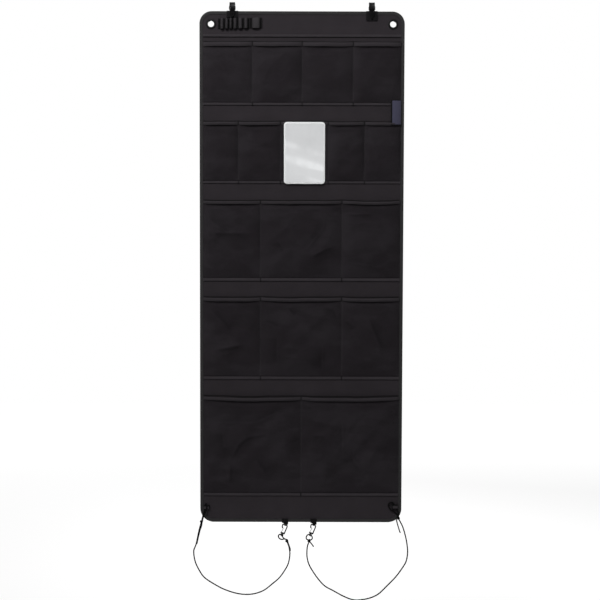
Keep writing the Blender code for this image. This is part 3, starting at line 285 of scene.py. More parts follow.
# A cord's ring at its corner passes in front of the panel, then inside its loop of webbing or outside it
CORD_FRONT = PANEL_FRONT - BINDING_STACK - GAP - BRAID_RADIUS
INSIDE = SHEET_BACK - BINDING_THICKNESS - LOOP_ROOM / 2
OUTSIDE = SHEET_BACK - 2 * BINDING_THICKNESS - LOOP_ROOM - GAP - BRAID_RADIUS - 0.0002
CORNER_RINGS = {
    "left": (
        (-0.2405, 1.2370, CORD_FRONT - 0.0036), (-0.2352, 1.2250, OUTSIDE), (-0.2332, 1.2190, OUTSIDE),
        (-0.2325, 1.2140, OUTSIDE), (-0.2332, 1.2080, OUTSIDE + 0.0006),
        (-0.2345, 1.2062, (INSIDE + OUTSIDE) / 2), (-0.2356, 1.2080, INSIDE - 0.0002),
        (-0.2362, 1.2140, INSIDE),
        (-0.2378, 1.2225, INSIDE), (-0.2414, 1.2330, CORD_FRONT - 0.0004),
    ),
    "right": (
        (0.2385, 1.2318, CORD_FRONT - 0.0002), (0.2318, 1.2252, CORD_FRONT), (0.2229, 1.2196, CORD_FRONT),
        (0.2172, 1.2125, CORD_FRONT), (0.2170, 1.2060, CORD_FRONT), (0.2213, 1.2022, CORD_FRONT - 0.0002),
        (0.2270, 1.2026, INSIDE), (0.2312, 1.2068, INSIDE), (0.2345, 1.2130, INSIDE),
        (0.2380, 1.2205, INSIDE), (0.2412, 1.2300, CORD_FRONT - 0.0004),
    ),
}
CORNER_TAILS = {
    "left": (
        (-0.2450, 1.2575, -0.0120), (-0.2466, 1.2640, -0.0126), (-0.2503, 1.2750, -0.0130),
        (-0.2572, 1.3052, -0.0141),
    ),
    "right": (
        (0.2362, 1.2415, -0.0136), (0.2374, 1.2480, -0.0124), (0.2395, 1.2560, -0.0116),
        (0.2430, 1.2680, -0.0114), (0.2461, 1.2766, -0.0114),
    ),
}
# A cord's ring at its clip, before and after it goes through the clip's eye, and its tail there
CLIP_RINGS = {
    "left": (
        ((-0.0405, 1.2935, -0.01085), (-0.0470, 1.2945, -0.01185), (-0.0530, 1.2915, -0.01225),
         (-0.0555, 1.2860, -0.01245), (-0.0525, 1.2815, -0.01325)),
        ((-0.0448, 1.2900, -0.00505), (-0.0390, 1.2952, -0.00625)),
    ),
    "right": (
        ((0.0150, 1.2945, -0.01025), (0.0135, 1.2890, -0.01165), (0.0160, 1.2836, -0.01285),
         (0.0200, 1.2812, -0.01345)),
        ((0.0278, 1.2885, -0.00505), (0.0285, 1.2935, -0.00605), (0.0245, 1.2968, -0.00745)),
    ),
}
CLIP_TAILS = {
    "left": ((-0.0310, 1.3040, -0.01125), (-0.0271, 1.3150, -0.01175), (-0.0257, 1.3215, -0.01185)),
    "right": ((0.0252, 1.3042, -0.00865), (0.0314, 1.3123, -0.00865)),
}

# Stage and camera
FLOOR_HALF = 7.0
FLOOR_Z = -1.95
CAMERA_LENS = 73.32
CAMERA_DIP = 3.1065
CAMERA_ROLL = 0.148

OUT = Vector((0, -1, 0))
UP = Vector((0, 0, 1))
ACROSS = Vector((1, 0, 0))
# How far a tube's rounded end goes round: almost to its pole
CAP_ANGLE = math.pi / 2 * 0.94

# Spacings of the weaves, and the colour that painted shade gives cloth in folds, valleys and seams and under
# edges
TAPE_THREADS = (0.0009, 0.0016)
NET_CELL = 0.0019
ELASTIC_RIB = 0.0018
BRAID_STRANDS = 6
PAINTED_SHADE_COLOUR = (0.0016, 0.0014, 0.0016)


def at_depth(depth):
    return PANEL_TOP - depth


def in_space(route):
    return [Vector((x, y, at_depth(depth))) for x, depth, y in route]


def ripple(x, z, seed, size):
    """Smooth noise from -1 to 1 over the panel's plane; size is the length of a wave."""
    return noise.noise(Vector((x / size, z / size, seed)))


def clamp(value):
    return max(0.0, min(1.0, value))


def ramp(value, full, none):
    """1 up to full, falling to 0 at none."""
    return clamp((none - value) / (none - full))


def hump(value, width):
    """1 at 0, falling off to both sides over about width."""
    return math.exp(-((value / width) ** 2))


# Materials


class Nodes:
    """Adds nodes to the tree of a material or of the world."""

    def __init__(self, tree):
        self.tree = tree

    def feed(self, socket, value):
        """Gives a socket another node's output or a value, where a colour is three numbers."""
        if isinstance(value, bpy.types.NodeSocket):
            self.tree.links.new(value, socket)
        elif value is not None:
            socket.default_value = (*value, 1.0) if socket.type == "RGBA" else value

    def node(self, kind, *values, **settings):
        made = self.tree.nodes.new(kind)
        for name, value in settings.items():
            setattr(made, name, value)
        for socket, value in zip(made.inputs, values):
            self.feed(socket, value)
        return made

    def maths(self, operation, *values):
        return self.node("ShaderNodeMath", *values, operation=operation).outputs[0]

    def spread(self, value, low, high, start=0.0, end=1.0):
        """value from low..high brought to start..end, and held there."""
        return self.node("ShaderNodeMapRange", value, low, high, start, end).outputs[0]

    def mix(self, share, first, second):
        """first where share is 0 and second where it is 1; a Mix node's colours are its sockets 6 and 7."""
        made = self.node("ShaderNodeMix", data_type="RGBA")
        for place, value in ((0, share), (6, first), (7, second)):
            self.feed(made.inputs[place], value)
        return made.outputs[2]


class Finish(Nodes):
    """A Principled material, and the nodes that give its colour, roughness and bump."""

    def __init__(self, name, roughness=0.8, specular=0.3, metallic=0.0, sheen=0.0, follows="UV"):
        self.material = bpy.data.materials.new(name)
        self.material.use_nodes = True
        super().__init__(self.material.node_tree)
        self.shader = self.tree.nodes["Principled BSDF"]
        for socket, value in (
            ("Roughness", roughness), ("Specular IOR Level", specular), ("Metallic", metallic),
            ("Sheen Weight", sheen), ("Sheen Roughness", 0.6),
        ):
            self.shader.inputs[socket].default_value = value
        self.place = self.node("ShaderNodeTexCoord").outputs[follows]
        self.x, self.y, self.z = self.node("ShaderNodeSeparateXYZ", self.place).outputs

    def wave(self, value, period):
        """A sine along value, from -1 to 1."""
        return self.maths("SINE", self.maths("MULTIPLY", value, 2 * math.pi / period))

    def cloud(self, size, detail, stretch=(1.0, 1.0, 1.0), turn=0.0):
        """Noise from 0 to 1 whose patches are about size across, drawn out by stretch and turned by turn."""
        mapping = self.node("ShaderNodeMapping", self.place, None, (0.0, 0.0, turn), stretch)
        return self.node("ShaderNodeTexNoise", mapping.outputs[0], None, 1.0 / size, detail).outputs[0]

    def with_painted_shade(self, colour):
        """colour, gone dark as far as the piece's own shade attribute says; on most pieces this is painted
        shade in folds, valleys and seams and under edges.
        """
        shade = self.node("ShaderNodeAttribute", attribute_name="shade").outputs["Fac"]
        return self.mix(shade, colour, PAINTED_SHADE_COLOUR)

    def paint(self, colour):
        self.feed(self.shader.inputs["Base Color"], colour)

    def dull(self, value):
        self.feed(self.shader.inputs["Roughness"], value)

    def raise_by(self, height, metres, strength=1.0):
        bump = self.node("ShaderNodeBump", strength, metres)
        self.feed(bump.inputs["Height"], height)
        self.feed(self.shader.inputs["Normal"], bump.outputs[0])

    def shine(self, light):
        """Lets the surface show light of its own, in place of what the Principled shader gives."""
        self.feed(self.tree.nodes["Material Output"].inputs["Surface"], light.outputs[0])


def woven(name, colour, threads, relief, contrast=0.35, specular=0.08):
    """A cloth of crossing threads: threads is the (along, across) spacing of its crowns."""
    cloth = Finish(name, roughness=0.85, specular=specular, sheen=0.03)
    crossing = cloth.maths("MULTIPLY", cloth.wave(cloth.x, threads[0]), cloth.wave(cloth.y, threads[1]))
    crowns = cloth.spread(crossing, -1.0, 1.0)
    light = tuple((1 + contrast) * c for c in colour)
    dark = tuple((1 - contrast) * c for c in colour)
    worn = cloth.spread(cloth.cloud(0.05, 4.0), 0.40, 0.75, 0.0, 0.45)
    cloth.paint(cloth.with_painted_shade(cloth.mix(worn, cloth.mix(crowns, dark, light), light)))
    cloth.raise_by(crowns, relief)
    return cloth.material


def webbing(name, colour):
    return woven(name, colour, (0.0013, 0.0016), 0.00020, specular=0.03)


def thread(name, colour):
    return woven(name, colour, (0.0004, 0.0004), 0.00004)


def pocket_net():
    """Black net, paler in wide patches and darker in slanted streaks: partly its own random tone, partly
    painted sheen and painted shade of its folds.
    """
    net = Finish("pocket_net", roughness=0.9, specular=0.04, sheen=0.02)
    rising = net.maths("ADD", net.x, net.y)
    falling = net.maths("SUBTRACT", net.x, net.y)
    cells = net.maths("MULTIPLY", net.wave(rising, NET_CELL), net.wave(falling, NET_CELL))
    holes = net.spread(cells, 0.05, 0.55)
    # Painted sheen and painted fold shade, mixed with the net's own random tone
    patches = net.spread(net.cloud(0.080, 5.0, (0.6, 1.0, 1.0), 0.5), 0.46, 0.54)
    streaks = net.spread(net.cloud(0.040, 4.0, (0.4, 1.2, 1.0), -0.4), 0.52, 0.57)
    colour = net.mix(patches, (0.0221, 0.0185, 0.0219), (0.0270, 0.0233, 0.0272))
    colour = net.mix(net.maths("MULTIPLY", streaks, 0.40), colour, (0.0172, 0.0146, 0.0170))
    net.paint(net.with_painted_shade(net.mix(holes, colour, (0.0052, 0.0046, 0.0052))))
    net.raise_by(net.maths("SUBTRACT", 1.0, holes), 0.00030)
    return net.material


def loop_elastic():
    elastic = Finish("loop_elastic", roughness=0.8, specular=0.03, sheen=0.02)
    along, across_ribs = elastic.wave(elastic.x, 0.0008), elastic.wave(elastic.y, ELASTIC_RIB)
    ribs = elastic.spread(across_ribs, -0.8, 0.8)
    picks = elastic.maths("MULTIPLY", along, across_ribs)
    elastic.paint(elastic.with_painted_shade(elastic.mix(ribs, (0.0102, 0.0094, 0.0102), (0.0590, 0.0542, 0.0590))))
    elastic.raise_by(elastic.maths("ADD", ribs, elastic.maths("MULTIPLY", picks, 0.25)), 0.00022)
    return elastic.material


def cord_braid():
    braid = Finish("cord_braid", roughness=0.75, specular=0.02)
    spacing = 4 * math.pi * BRAID_RADIUS / BRAID_STRANDS
    steep = braid.maths("MULTIPLY", braid.x, 0.55)
    one_way = braid.wave(braid.maths("ADD", steep, braid.y), spacing)
    other_way = braid.wave(braid.maths("SUBTRACT", steep, braid.y), spacing)
    strands = braid.spread(braid.maths("MULTIPLY", one_way, other_way), -0.7, 0.7)
    braid.paint(braid.mix(strands, (0.0022, 0.0022, 0.0023), (0.0075, 0.0074, 0.0076)))
    braid.raise_by(strands, 0.00025)
    return braid.material


def moulded_nylon():
    plastic = Finish("moulded_nylon", roughness=0.42, specular=0.10, follows="Object")
    rubbed = plastic.spread(plastic.cloud(0.006, 4.0), 0.45, 0.75)
    plastic.paint(plastic.mix(rubbed, (0.0048, 0.0048, 0.0050), (0.0100, 0.0100, 0.0104)))
    plastic.dull(plastic.spread(rubbed, 0.0, 1.0, 0.36, 0.55))
    plastic.raise_by(plastic.cloud(0.0012, 3.0), 0.00006)
    return plastic.material


def blackened_metal():
    metal = Finish("blackened_metal", roughness=0.45, specular=0.06, follows="Object")
    scuffs = metal.spread(metal.cloud(0.004, 5.0, (1.0, 1.0, 3.0)), 0.55, 0.80)
    metal.paint(metal.mix(scuffs, (0.0055, 0.0055, 0.0057), (0.0240, 0.0240, 0.0246)))
    metal.dull(metal.spread(metal.cloud(0.0025, 4.0), 0.3, 0.7, 0.38, 0.58))
    metal.raise_by(metal.cloud(0.0008, 2.0), 0.00002)
    return metal.material


def bright_wire():
    wire = Finish("bright_wire", roughness=0.25, specular=0.5, metallic=1.0, follows="Object")
    drawn = wire.cloud(0.0009, 3.0, (1.0, 1.0, 0.15))
    wire.paint(wire.mix(wire.spread(drawn, 0.3, 0.7), (0.30, 0.30, 0.31), (0.46, 0.46, 0.47)))
    wire.dull(wire.spread(drawn, 0.3, 0.7, 0.18, 0.34))
    return wire.material


def acrylic_mirror():
    mirror = Finish("acrylic_mirror", roughness=0.03, specular=0.5, metallic=1.0, follows="Object")
    haze = mirror.spread(mirror.cloud(0.05, 3.0), 0.4, 0.7)
    mirror.paint(mirror.mix(haze, (0.86, 0.87, 0.875), (0.80, 0.81, 0.815)))
    mirror.dull(mirror.spread(haze, 0.0, 1.0, 0.02, 0.06))
    mirror.raise_by(mirror.cloud(0.05, 1.0), 0.00010, 0.4)
    return mirror.material


def ground_edge():
    rim = Finish("ground_mirror_edge", roughness=0.6, specular=0.04, follows="Object")
    grinding = rim.cloud(0.0010, 3.0)
    rim.paint(rim.mix(grinding, (0.68, 0.69, 0.69), (0.80, 0.81, 0.81)))
    rim.raise_by(grinding, 0.00004)
    return rim.material


def tape_pile():
    pile = Finish("hook_and_loop_pile", roughness=0.95, specular=0.15, sheen=0.3, follows="Object")
    tufts = pile.cloud(0.0012, 3.0)
    pile.paint(pile.mix(pile.spread(tufts, 0.35, 0.65), (0.006, 0.006, 0.0065), (0.022, 0.022, 0.023)))
    pile.raise_by(tufts, 0.0006)
    return pile.material


FINISHES = {
    "panel": woven("oxford_weave", (0.0208, 0.0176, 0.0203), (0.0011, 0.0009), 0.00012),
    "hem": woven("folded_tape", (0.0255, 0.0222, 0.0253), TAPE_THREADS, 0.00016),
    "tape": woven("flat_tape", (0.0310, 0.0270, 0.0307), TAPE_THREADS, 0.00016),
    "binding": woven("grosgrain_binding", (0.0255, 0.0250, 0.0254), (0.0010, 0.0040), 0.00018),
    "label": woven("label_satin", (0.050, 0.049, 0.078), (0.0004, 0.0010), 0.00005, contrast=0.15),
    "webbing": webbing("black_webbing", (0.0042, 0.0040, 0.0043)),
    "patch": webbing("patch_webbing", (0.0064, 0.0060, 0.0066)),
    "tab": webbing("tab_webbing", (0.0030, 0.0028, 0.0031)),
    "thread": thread("sewing_thread", (0.0200, 0.0190, 0.0200)),
    "pale_thread": thread("divider_thread", (0.0370, 0.0343, 0.0370)),
    "black_thread": thread("bar_thread", (0.0035, 0.0035, 0.0036)),
    "net": pocket_net(),
    "elastic": loop_elastic(),
    "cord": cord_braid(),
    "plastic": moulded_nylon(),
    "metal": blackened_metal(),
    "wire": bright_wire(),
    "mirror": acrylic_mirror(),
    "rim": ground_edge(),
    "pile": tape_pile(),
}


# Shapes


def added(name, bm, *materials):
    """Puts a finished bmesh into the scene as an object."""
    mesh = bpy.data.meshes.new(name)
    bm.to_mesh(mesh)
    bm.free()
    for material in materials:
        mesh.materials.append(material)
    obj = bpy.data.objects.new(name, mesh)
    scene.collection.objects.link(obj)
    return obj


def piece(name, bm, finish, body, node=None, smooth=40, second=None, shade=None):
    """Makes the object of a finished bmesh, puts it on the body it rides on, and hides the CAD part of the
    node it stands for.
    shade gives how far its colour goes dark at a point, from 0 to 1, mostly as painted shade."""
    bmesh.ops.recalc_face_normals(bm, faces=bm.faces)
    obj = added(name, bm, *(FINISHES[kind] for kind in (finish, second) if kind))
    mesh = obj.data
    mesh.shade_smooth()
    mesh.set_sharp_from_angle(angle=math.radians(smooth))
    if shade:
        darkness = [shade(v.co.x, PANEL_TOP - v.co.z, v.co.y) for v in mesh.vertices]
        mesh.attributes.new("shade", "FLOAT", "POINT").data.foreach_set("value", darkness)
    if body:
        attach(obj, body)
    if node:
        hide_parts(node)
    return obj


def sewn_on(name, bm, finish, node, smooth=40, shade=None):
    """A piece that belongs to the panel itself."""
    return piece(name, bm, finish, "organizer", node, smooth, shade=shade)


def net_of(columns, rows, place):
    """A grid of columns by rows points: place(i, j) gives each one's point and its (u, v)."""
    bm = bmesh.new()
    uv_layer = bm.loops.layers.uv.new("UVMap")
    bmesh.ops.create_grid(bm, x_segments=columns - 1, y_segments=rows - 1, size=1.0)
    bm.verts.index_update()
    uvs = {}
    for vert in bm.verts:
        j, i = divmod(vert.index, columns)
        vert.co, uvs[vert] = place(i, j)
    for face in bm.faces:
        for loop in face.loops:
            loop[uv_layer].uv = uvs[loop.vert]
    return bm


def skin(rings, closed=False):
    """A closed body over rings of points. u runs along the rings and v round them, in metres."""
    rings = list(rings) + ([rings[0]] if closed else [])
    around = len(rings[0])
    middles = [sum(ring, Vector()) / around for ring in rings]
    along = [0.0]
    for a, b in zip(middles, middles[1:]):
        along.append(along[-1] + (b - a).length)
    widest = max(rings, key=lambda ring: sum((a - b).length for a, b in zip(ring, ring[1:])))
    rounds = [0.0]
    for a, b in zip(widest, [*widest[1:], widest[0]]):
        rounds.append(rounds[-1] + (b - a).length)

    def place(i, j):
        return rings[i][j % around], (along[i], rounds[j])

    bm = net_of(len(rings), around + 1, place)
    bmesh.ops.remove_doubles(bm, verts=bm.verts, dist=1e-7)
    if not closed:
        bmesh.ops.holes_fill(bm, edges=[e for e in bm.edges if e.is_boundary], sides=0)
    return bm


def add_to(bm, other):
    """Adds another bmesh's shape to bm."""
    mesh = bpy.data.meshes.new("part")
    other.to_mesh(mesh)
    other.free()
    bm.from_mesh(mesh)
    bpy.data.meshes.remove(mesh)
    return bm


def thicken(bm, way):
    """Gives an open sheet its thickness along way."""
    made = bmesh.ops.extrude_face_region(bm, geom=list(bm.faces))
    moved = [g for g in made["geom"] if isinstance(g, bmesh.types.BMVert)]
    bmesh.ops.translate(bm, verts=moved, vec=way)
    return bm


def ease_edges(bm, offset, segments=2, angle=30):
    """Rounds every edge that is sharper than angle."""
    sharp = [e for e in bm.edges if len(e.link_faces) == 2 and e.calc_face_angle(0) > math.radians(angle)]
    bmesh.ops.bevel(
        bm, geom=sharp, offset=offset, segments=segments, profile=0.5, affect="EDGES", material=-1,
        clamp_overlap=True,
    )
    return bm


def smooth_curve(points, step):
    """Points along a Catmull-Rom curve through the given ones, about step apart."""
    points = [Vector(p) for p in points]
    ends = [2 * points[0] - points[1], *points, 2 * points[-1] - points[-2]]
    found = [points[0]]
    for before, a, b, after in zip(ends, ends[1:], ends[2:], ends[3:]):
        square, cube = 2 * before - 5 * a + 4 * b - after, 3 * a - before - 3 * b + after
        count = max(1, round((b - a).length / step))
        for k in range(1, count + 1):
            t = k / count
            found.append(0.5 * (2 * a + (b - before) * t + square * t**2 + cube * t**3))
    return found


def tangents(points, closed=False):
    found = []
    for k in range(len(points)):
        before = points[k - 1] if k or closed else points[k]
        after = points[(k + 1) % len(points)] if closed or k < len(points) - 1 else points[k]
        found.append((after - before).normalized())
    return found


def circle(centre, side, other, radius, sides):
    """Points of a circle in the plane of side and other."""
    turns = [2 * math.pi * k / sides for k in range(sides)]
    return [centre + (side * math.cos(t) + other * math.sin(t)) * radius for t in turns]


def tube(points, radius, sides, cap=0):
    """A round bar along the points. Its ends are flat, or rounded in as many steps as cap says."""
    ways = tangents(points)
    side = ways[0].orthogonal().normalized()
    sections = []
    for point, way in zip(points, ways):
        side = (side - way * side.dot(way)).normalized()
        sections.append((point, side, way.cross(side)))
    caps = []
    for (point, side, other), way in ((sections[0], -ways[0]), (sections[-1], ways[-1])):
        angles = [CAP_ANGLE * k / cap for k in range(1, cap + 1)]
        spots = [(point + way * radius * math.sin(a), radius * math.cos(a)) for a in angles]
        caps.append([circle(spot, side, other, reach, sides) for spot, reach in spots])
    return skin([*reversed(caps[0]), *(circle(*section, radius, sides) for section in sections), *caps[1]])


def hoop(points, radius):
    """A closed ring of round wire through the points, which lie in one plane."""
    ways = tangents(points, closed=True)
    flat = (points[0] - points[len(points) // 2]).cross(ways[0]).normalized()
    rings = [circle(point, way.cross(flat), flat, radius, 16) for point, way in zip(points, ways)]
    return skin(rings, closed=True)


def turned(profile, centre):
    """A ring turned about the Y axis through centre, from a closed (radius, y) profile."""
    bm = bmesh.new()
    verts = [bm.verts.new((centre[0] + r, y, centre[1])) for r, y in profile]
    edges = [bm.edges.new((a, b)) for a, b in zip(verts, [*verts[1:], verts[0]])]
    bmesh.ops.spin(
        bm, geom=[*verts, *edges], cent=(centre[0], 0, centre[1]), axis=(0, 1, 0), angle=2 * math.pi,
        steps=72, use_merge=True,
    )
    bmesh.ops.remove_doubles(bm, verts=bm.verts, dist=1e-7)
    return bm


def block(low, high, bevel, segments=2):
    """A box between two corners with rounded edges."""
    bm = bmesh.new()
    bm.loops.layers.uv.new("UVMap")
    bmesh.ops.create_cube(bm, size=1.0)
    low, high = Vector(low), Vector(high)
    bmesh.ops.scale(bm, verts=bm.verts, vec=high - low)
    bmesh.ops.translate(bm, verts=bm.verts, vec=(low + high) / 2)
    return ease_edges(bm, bevel, segments)


def divided(points, step, closed=False):
    """The same line with points about step apart on it."""
    found = []
    for a, b in zip(points, [*points[1:], points[0]] if closed else points[1:]):
        count = max(1, round((b - a).length / step))
        found += [a.lerp(b, k / count) for k in range(count)]
    return found if closed else [*found, points[-1]]


def band_section(width, thickness, seams):
    """(across, outward) points round a tape: eased edges, and its front dipped along its seams, which are
    given from its edges."""
    half, edge = width / 2, min(thickness / 2, width / 4)
    tops = {-half + edge: thickness, half - edge: thickness}
    for inset in seams:
        for hand in (-1, 1):
            for shift, drop in ((-SEAM_DIP_HALF, 0.0), (0.0, SEAM_DIP), (SEAM_DIP_HALF, 0.0)):
                tops[hand * (half - inset) + shift] = thickness - drop
    rim = ((half - edge, 0.0), (half - 0.3 * edge, 0.14), (half, 0.5), (half - 0.3 * edge, 0.86))
    right = [(a, b * thickness) for a, b in rim]
    left = [(-a, b) for a, b in reversed(right)]
    return [*right, *reversed(sorted(tops.items())), *left]


def band(points, side, thickness, width, closed=False, seams=()):
    """A tape along points, which are on its rear face; its front looks out at the first point. side is the
    way across it, and width a number or one for each point."""
    widths = width if isinstance(width, list) else [width] * len(points)
    ways = tangents(points, closed)
    flip = -1.0 if ways[0].cross(side).dot(OUT) < 0 else 1.0
    rings = []
    for point, way, wide in zip(points, ways, widths):
        front = way.cross(side).normalized() * flip
        section = band_section(wide, thickness, seams if wide > 3 * sum(seams) else ())
        rings.append([point + side * a + front * b for a, b in section])
    return skin(rings, closed)


# Seams


def seam(points, pitch=STITCH_PITCH):
    """The stitches of one seam: (start, end) pairs at even steps along the points."""
    stitches = []
    run = 0.0
    begin = None
    at = 0.0
    for a, b in zip(points, points[1:]):
        length = (b - a).length
        while True:
            target = run + (0.0 if begin is None else STITCH_SHARE * pitch)
            if target > at + length:
                break
            spot = a.lerp(b, (target - at) / length if length else 0.0)
            if begin is None:
                begin = spot
            else:
                stitches.append((begin, spot))
                begin = None
                run += pitch
        at += length
    return stitches


def stitching(name, stitches, out=OUT, radius=THREAD_RADIUS, finish="thread"):
    """Every stitch as a small pillow of thread that dips into the cloth at its ends, all as one piece."""
    shares = ((0.0, 0.05, -1.2), (0.14, 0.85, 0.15), (0.5, 1.0, 0.75), (0.86, 0.85, 0.15), (1.0, 0.05, -1.2))
    rings, sides = len(shares), 6

    def place(i, j):
        k, m = divmod(i, rings)
        start, end = stitches[k]
        share, wide, lift = shares[m]
        way = (end - start).normalized()
        across = way.cross(out).normalized()
        turn = 2 * math.pi * (j % sides) / sides
        around = (across * math.cos(turn) + out * math.sin(turn)) * radius * wide
        return start.lerp(end, share) + out * radius * lift + around, (share * 0.003, j * radius)

    bm = net_of(rings * len(stitches), sides + 1, place)
    columns = rings * len(stitches) - 1
    bm.faces.ensure_lookup_table()
    between = [face for face in bm.faces if face.index % columns % rings == rings - 1]
    bmesh.ops.delete(bm, geom=between, context="FACES_ONLY")
    bmesh.ops.remove_doubles(bm, verts=bm.verts, dist=1e-8)
    bmesh.ops.holes_fill(bm, edges=[e for e in bm.edges if e.is_boundary], sides=0)
    return piece(name, bm, finish, "organizer")


def level(x_low, x_high, depth, y, step):
    """Points from left to right at one depth. depth and y may be numbers or functions of x."""
    count = max(2, round((x_high - x_low) / step))
    points = []
    for k in range(count + 1):
        x = x_low + (x_high - x_low) * k / count
        down, out = (given(x) if callable(given) else given for given in (depth, y))
        points.append(Vector((x, out, at_depth(down))))
    return points


def seam_across(depth, y, step=0.02):
    """The stitches of a seam across the panel, from side seam to side seam."""
    return seam(level(-SEAM_X + SEAM_END, SEAM_X - SEAM_END, depth, y, step))


def tape_seams(depth, height, y):
    """Two seams across the panel, beside both edges of a tape."""
    middle, off = depth + height / 2, height / 2 - TAPE_SEAM_INSET
    return seam_across(middle - off, y) + seam_across(middle + off, y)


def tape_waver(x, z, seed):
    """How far a tape's middle line wanders up and down."""
    return 0.0002 * ripple(x, z, seed, 0.03)


# Pocket rows, as the CAD source shapes them


def tape_of(row):
    return row["mouth"] + row["drop"]


def seams_of(row):
    return (-SEAM_X, *row["dividers"], SEAM_X)


def under_hem(row):
    return row["mouth"] + row["hem"]


def across(row, x):
    """(pocket number, 0 at a seam to 1 over the middle of the pocket) at x."""
    seams = seams_of(row)
    number = max(0, min(len(seams) - 2, sum(x >= s for s in seams) - 1))
    u = (x - seams[number]) / (seams[number + 1] - seams[number])
    return number, 1 - abs(2 * u - 1) ** 4


def hem_drop(row, x):
    number, share = across(row, x)
    return row["sag"] * share if row["depths"][number] else 0.0


def hem_line(row, x):
    """The depth of the hem's top edge, which sags over each pocket and wavers a little."""
    waver = 0.0016 * ripple(x, row["mouth"], 31.0, 0.070) + 0.0003 * ripple(x, row["mouth"], 33.0, 0.020)
    return row["mouth"] + hem_drop(row, x) + waver


def sheet_back(row, x, depth):
    """The y of the pocket sheet's rear face."""
    number, share = across(row, x)
    sewn = tape_of(row) - SEAM_EASE
    free_top = under_hem(row)
    rise = clamp((sewn - max(depth, free_top)) / (sewn - free_top))
    belly = row["depths"][number] * share * (1 - (1 - rise) ** 4) * (1 - DRAW_IN * rise**3)
    fold = math.sin(2 * math.pi * (x + (depth - row["mouth"])) / FOLD_LENGTH)
    belly += row["folds"] * fold * share * math.sin(math.pi * rise) if row["depths"][number] else 0.0
    lift = HEM_LIFT * max(0.0, 1 - max(0.0, depth - free_top - row["sag"]) / 0.020)
    return SHEET_BACK - max(0.0, belly) - lift


def hem_rear(row, x):
    """The y of the pocket sheet's rear face inside the hem."""
    return sheet_back(row, x, row["mouth"] + hem_drop(row, x))


def measured(points):
    """A crease's points with its length, and its box with the reach of its folds round it."""
    xs, depths = zip(*points)
    total = sum(math.dist(a, b) for a, b in zip(points, points[1:]))
    reach = CREASE_REACH
    return points, total, (min(xs) - reach, max(xs) + reach, min(depths) - reach, max(depths) + reach)


LAID_CREASES = {name: [measured(points) for points in creases] for name, creases in CREASES.items()}


def nearest_on(points, x, depth):
    """(how far off, how far along) a crease's nearest place is. The first is above 0 on its side of painted
    shade.
    """
    nearest, run, at = None, 0.0, 0.0
    for (ax, ad), (bx, bd) in zip(points, points[1:]):
        length = math.hypot(bx - ax, bd - ad)
        along = ((x - ax) * (bx - ax) + (depth - ad) * (bd - ad)) / length
        along = max(0.0, min(length, along))
        off_x = x - ax - (bx - ax) * along / length
        off_d = depth - ad - (bd - ad) * along / length
        away = math.hypot(off_x, off_d)
        if nearest is None or away < abs(nearest):
            nearest = math.copysign(away, (bx - ax) * off_d - (bd - ad) * off_x)
            at = run + along
        run += length
    return nearest, at


def creased(row, x, depth):
    """(how much painted shade, how far out) the cloth has for the creases that run by: each paints shade on
    one of its sides.
    """
    dark = lift = 0.0
    for points, total, (left, right, top, foot) in LAID_CREASES.get(row["name"], ()):
        if not (left < x < right and top < depth < foot):
            continue
        off, at = nearest_on(points, x, depth)
        if abs(off) > CREASE_REACH:
            continue
        taper = min(1.0, 4 * at / total, 4 * (1 - at / total))
        fading = math.exp(-max(0.0, off) / CREASE_SHADE_LENGTH)
        dark += CREASE_SHADE * taper * ramp(-off, -0.0015, 0.0015) * fading
        lift += CREASE_HEIGHT * taper * hump(off + 0.002, CREASE_WIDTH)
    return dark, lift


def folds(row, x, depth):
    """How far the cloth's folds stand out of the row's plain belly."""
    number, share = across(row, x)
    if not row["depths"][number]:
        return 0.0
    sewn = tape_of(row)
    rise = (sewn - depth) / (sewn - under_hem(row))
    if not 0.0 < rise < 1.0:
        return 0.0
    free = min(1.0, 5.0 * rise) * min(1.0, 4.0 * (1 - rise)) * share
    seed = 3.1 * number + 7.7 * row["mouth"]
    slant = 0.8 if number % 2 else -0.8
    turned_x, turned_z = x * 0.8 + slant * depth * 0.8, depth * 0.8 - slant * x * 0.5
    wide = ripple(turned_x, turned_z * 0.45, seed, 0.050)
    ridged = 1 - 2.2 * abs(ripple(turned_x, turned_z * 0.4, seed + 4.4, 0.034))
    small = ripple(x, depth, seed + 9.9, 0.018)
    valley = hump(depth - hem_line(row, x) - row["hem"] - 0.004, 0.005)
    loose = WIDE_FOLD * wide + RIDGED_FOLD * ridged + SMALL_FOLD * small + creased(row, x, depth)[1]
    return free * loose - VALLEY_UNDER_HEM * share * valley


def cloth_back(row, x, depth):
    """The y of the dressed pocket cloth's rear face, never behind its seat on the panel."""
    y = sheet_back(row, x, depth)
    return min(SHEET_BACK, y - folds(row, x, depth) * min(1.0, (SHEET_BACK - y) / 0.004))


# Panel, binding, header tape and elastic


def outline(inset):
    """(point, way inwards) pairs round the panel's edge, drawn in by inset, from the bottom left corner."""
    half, steps = PANEL_WIDTH / 2, 20
    foot = PANEL_TOP - PANEL_HEIGHT
    corners = (
        (-half, foot, BOTTOM_CORNER_RADIUS, 180), (half, foot, BOTTOM_CORNER_RADIUS, 270),
        (half, PANEL_TOP, TOP_CORNER_RADIUS, 0), (-half, PANEL_TOP, TOP_CORNER_RADIUS, 90),
    )
    found = []
    for x, z, radius, start in corners:
        centre = Vector((x - math.copysign(radius, x), 0, z + radius if start >= 180 else z - radius))
        for step in range(steps + 1):
            angle = math.radians(start + 90 * step / steps)
            way = Vector((math.cos(angle), 0, math.sin(angle)))
            found.append((centre + way * (radius - inset), -way))
    filled = []
    for (a, way_a), (b, way_b) in zip(found, [*found[1:], found[0]]):
        count = max(1, round((b - a).length / 0.005))
        for k in range(count):
            filled.append((a.lerp(b, k / count), way_a.lerp(way_b, k / count).normalized()))
    return filled


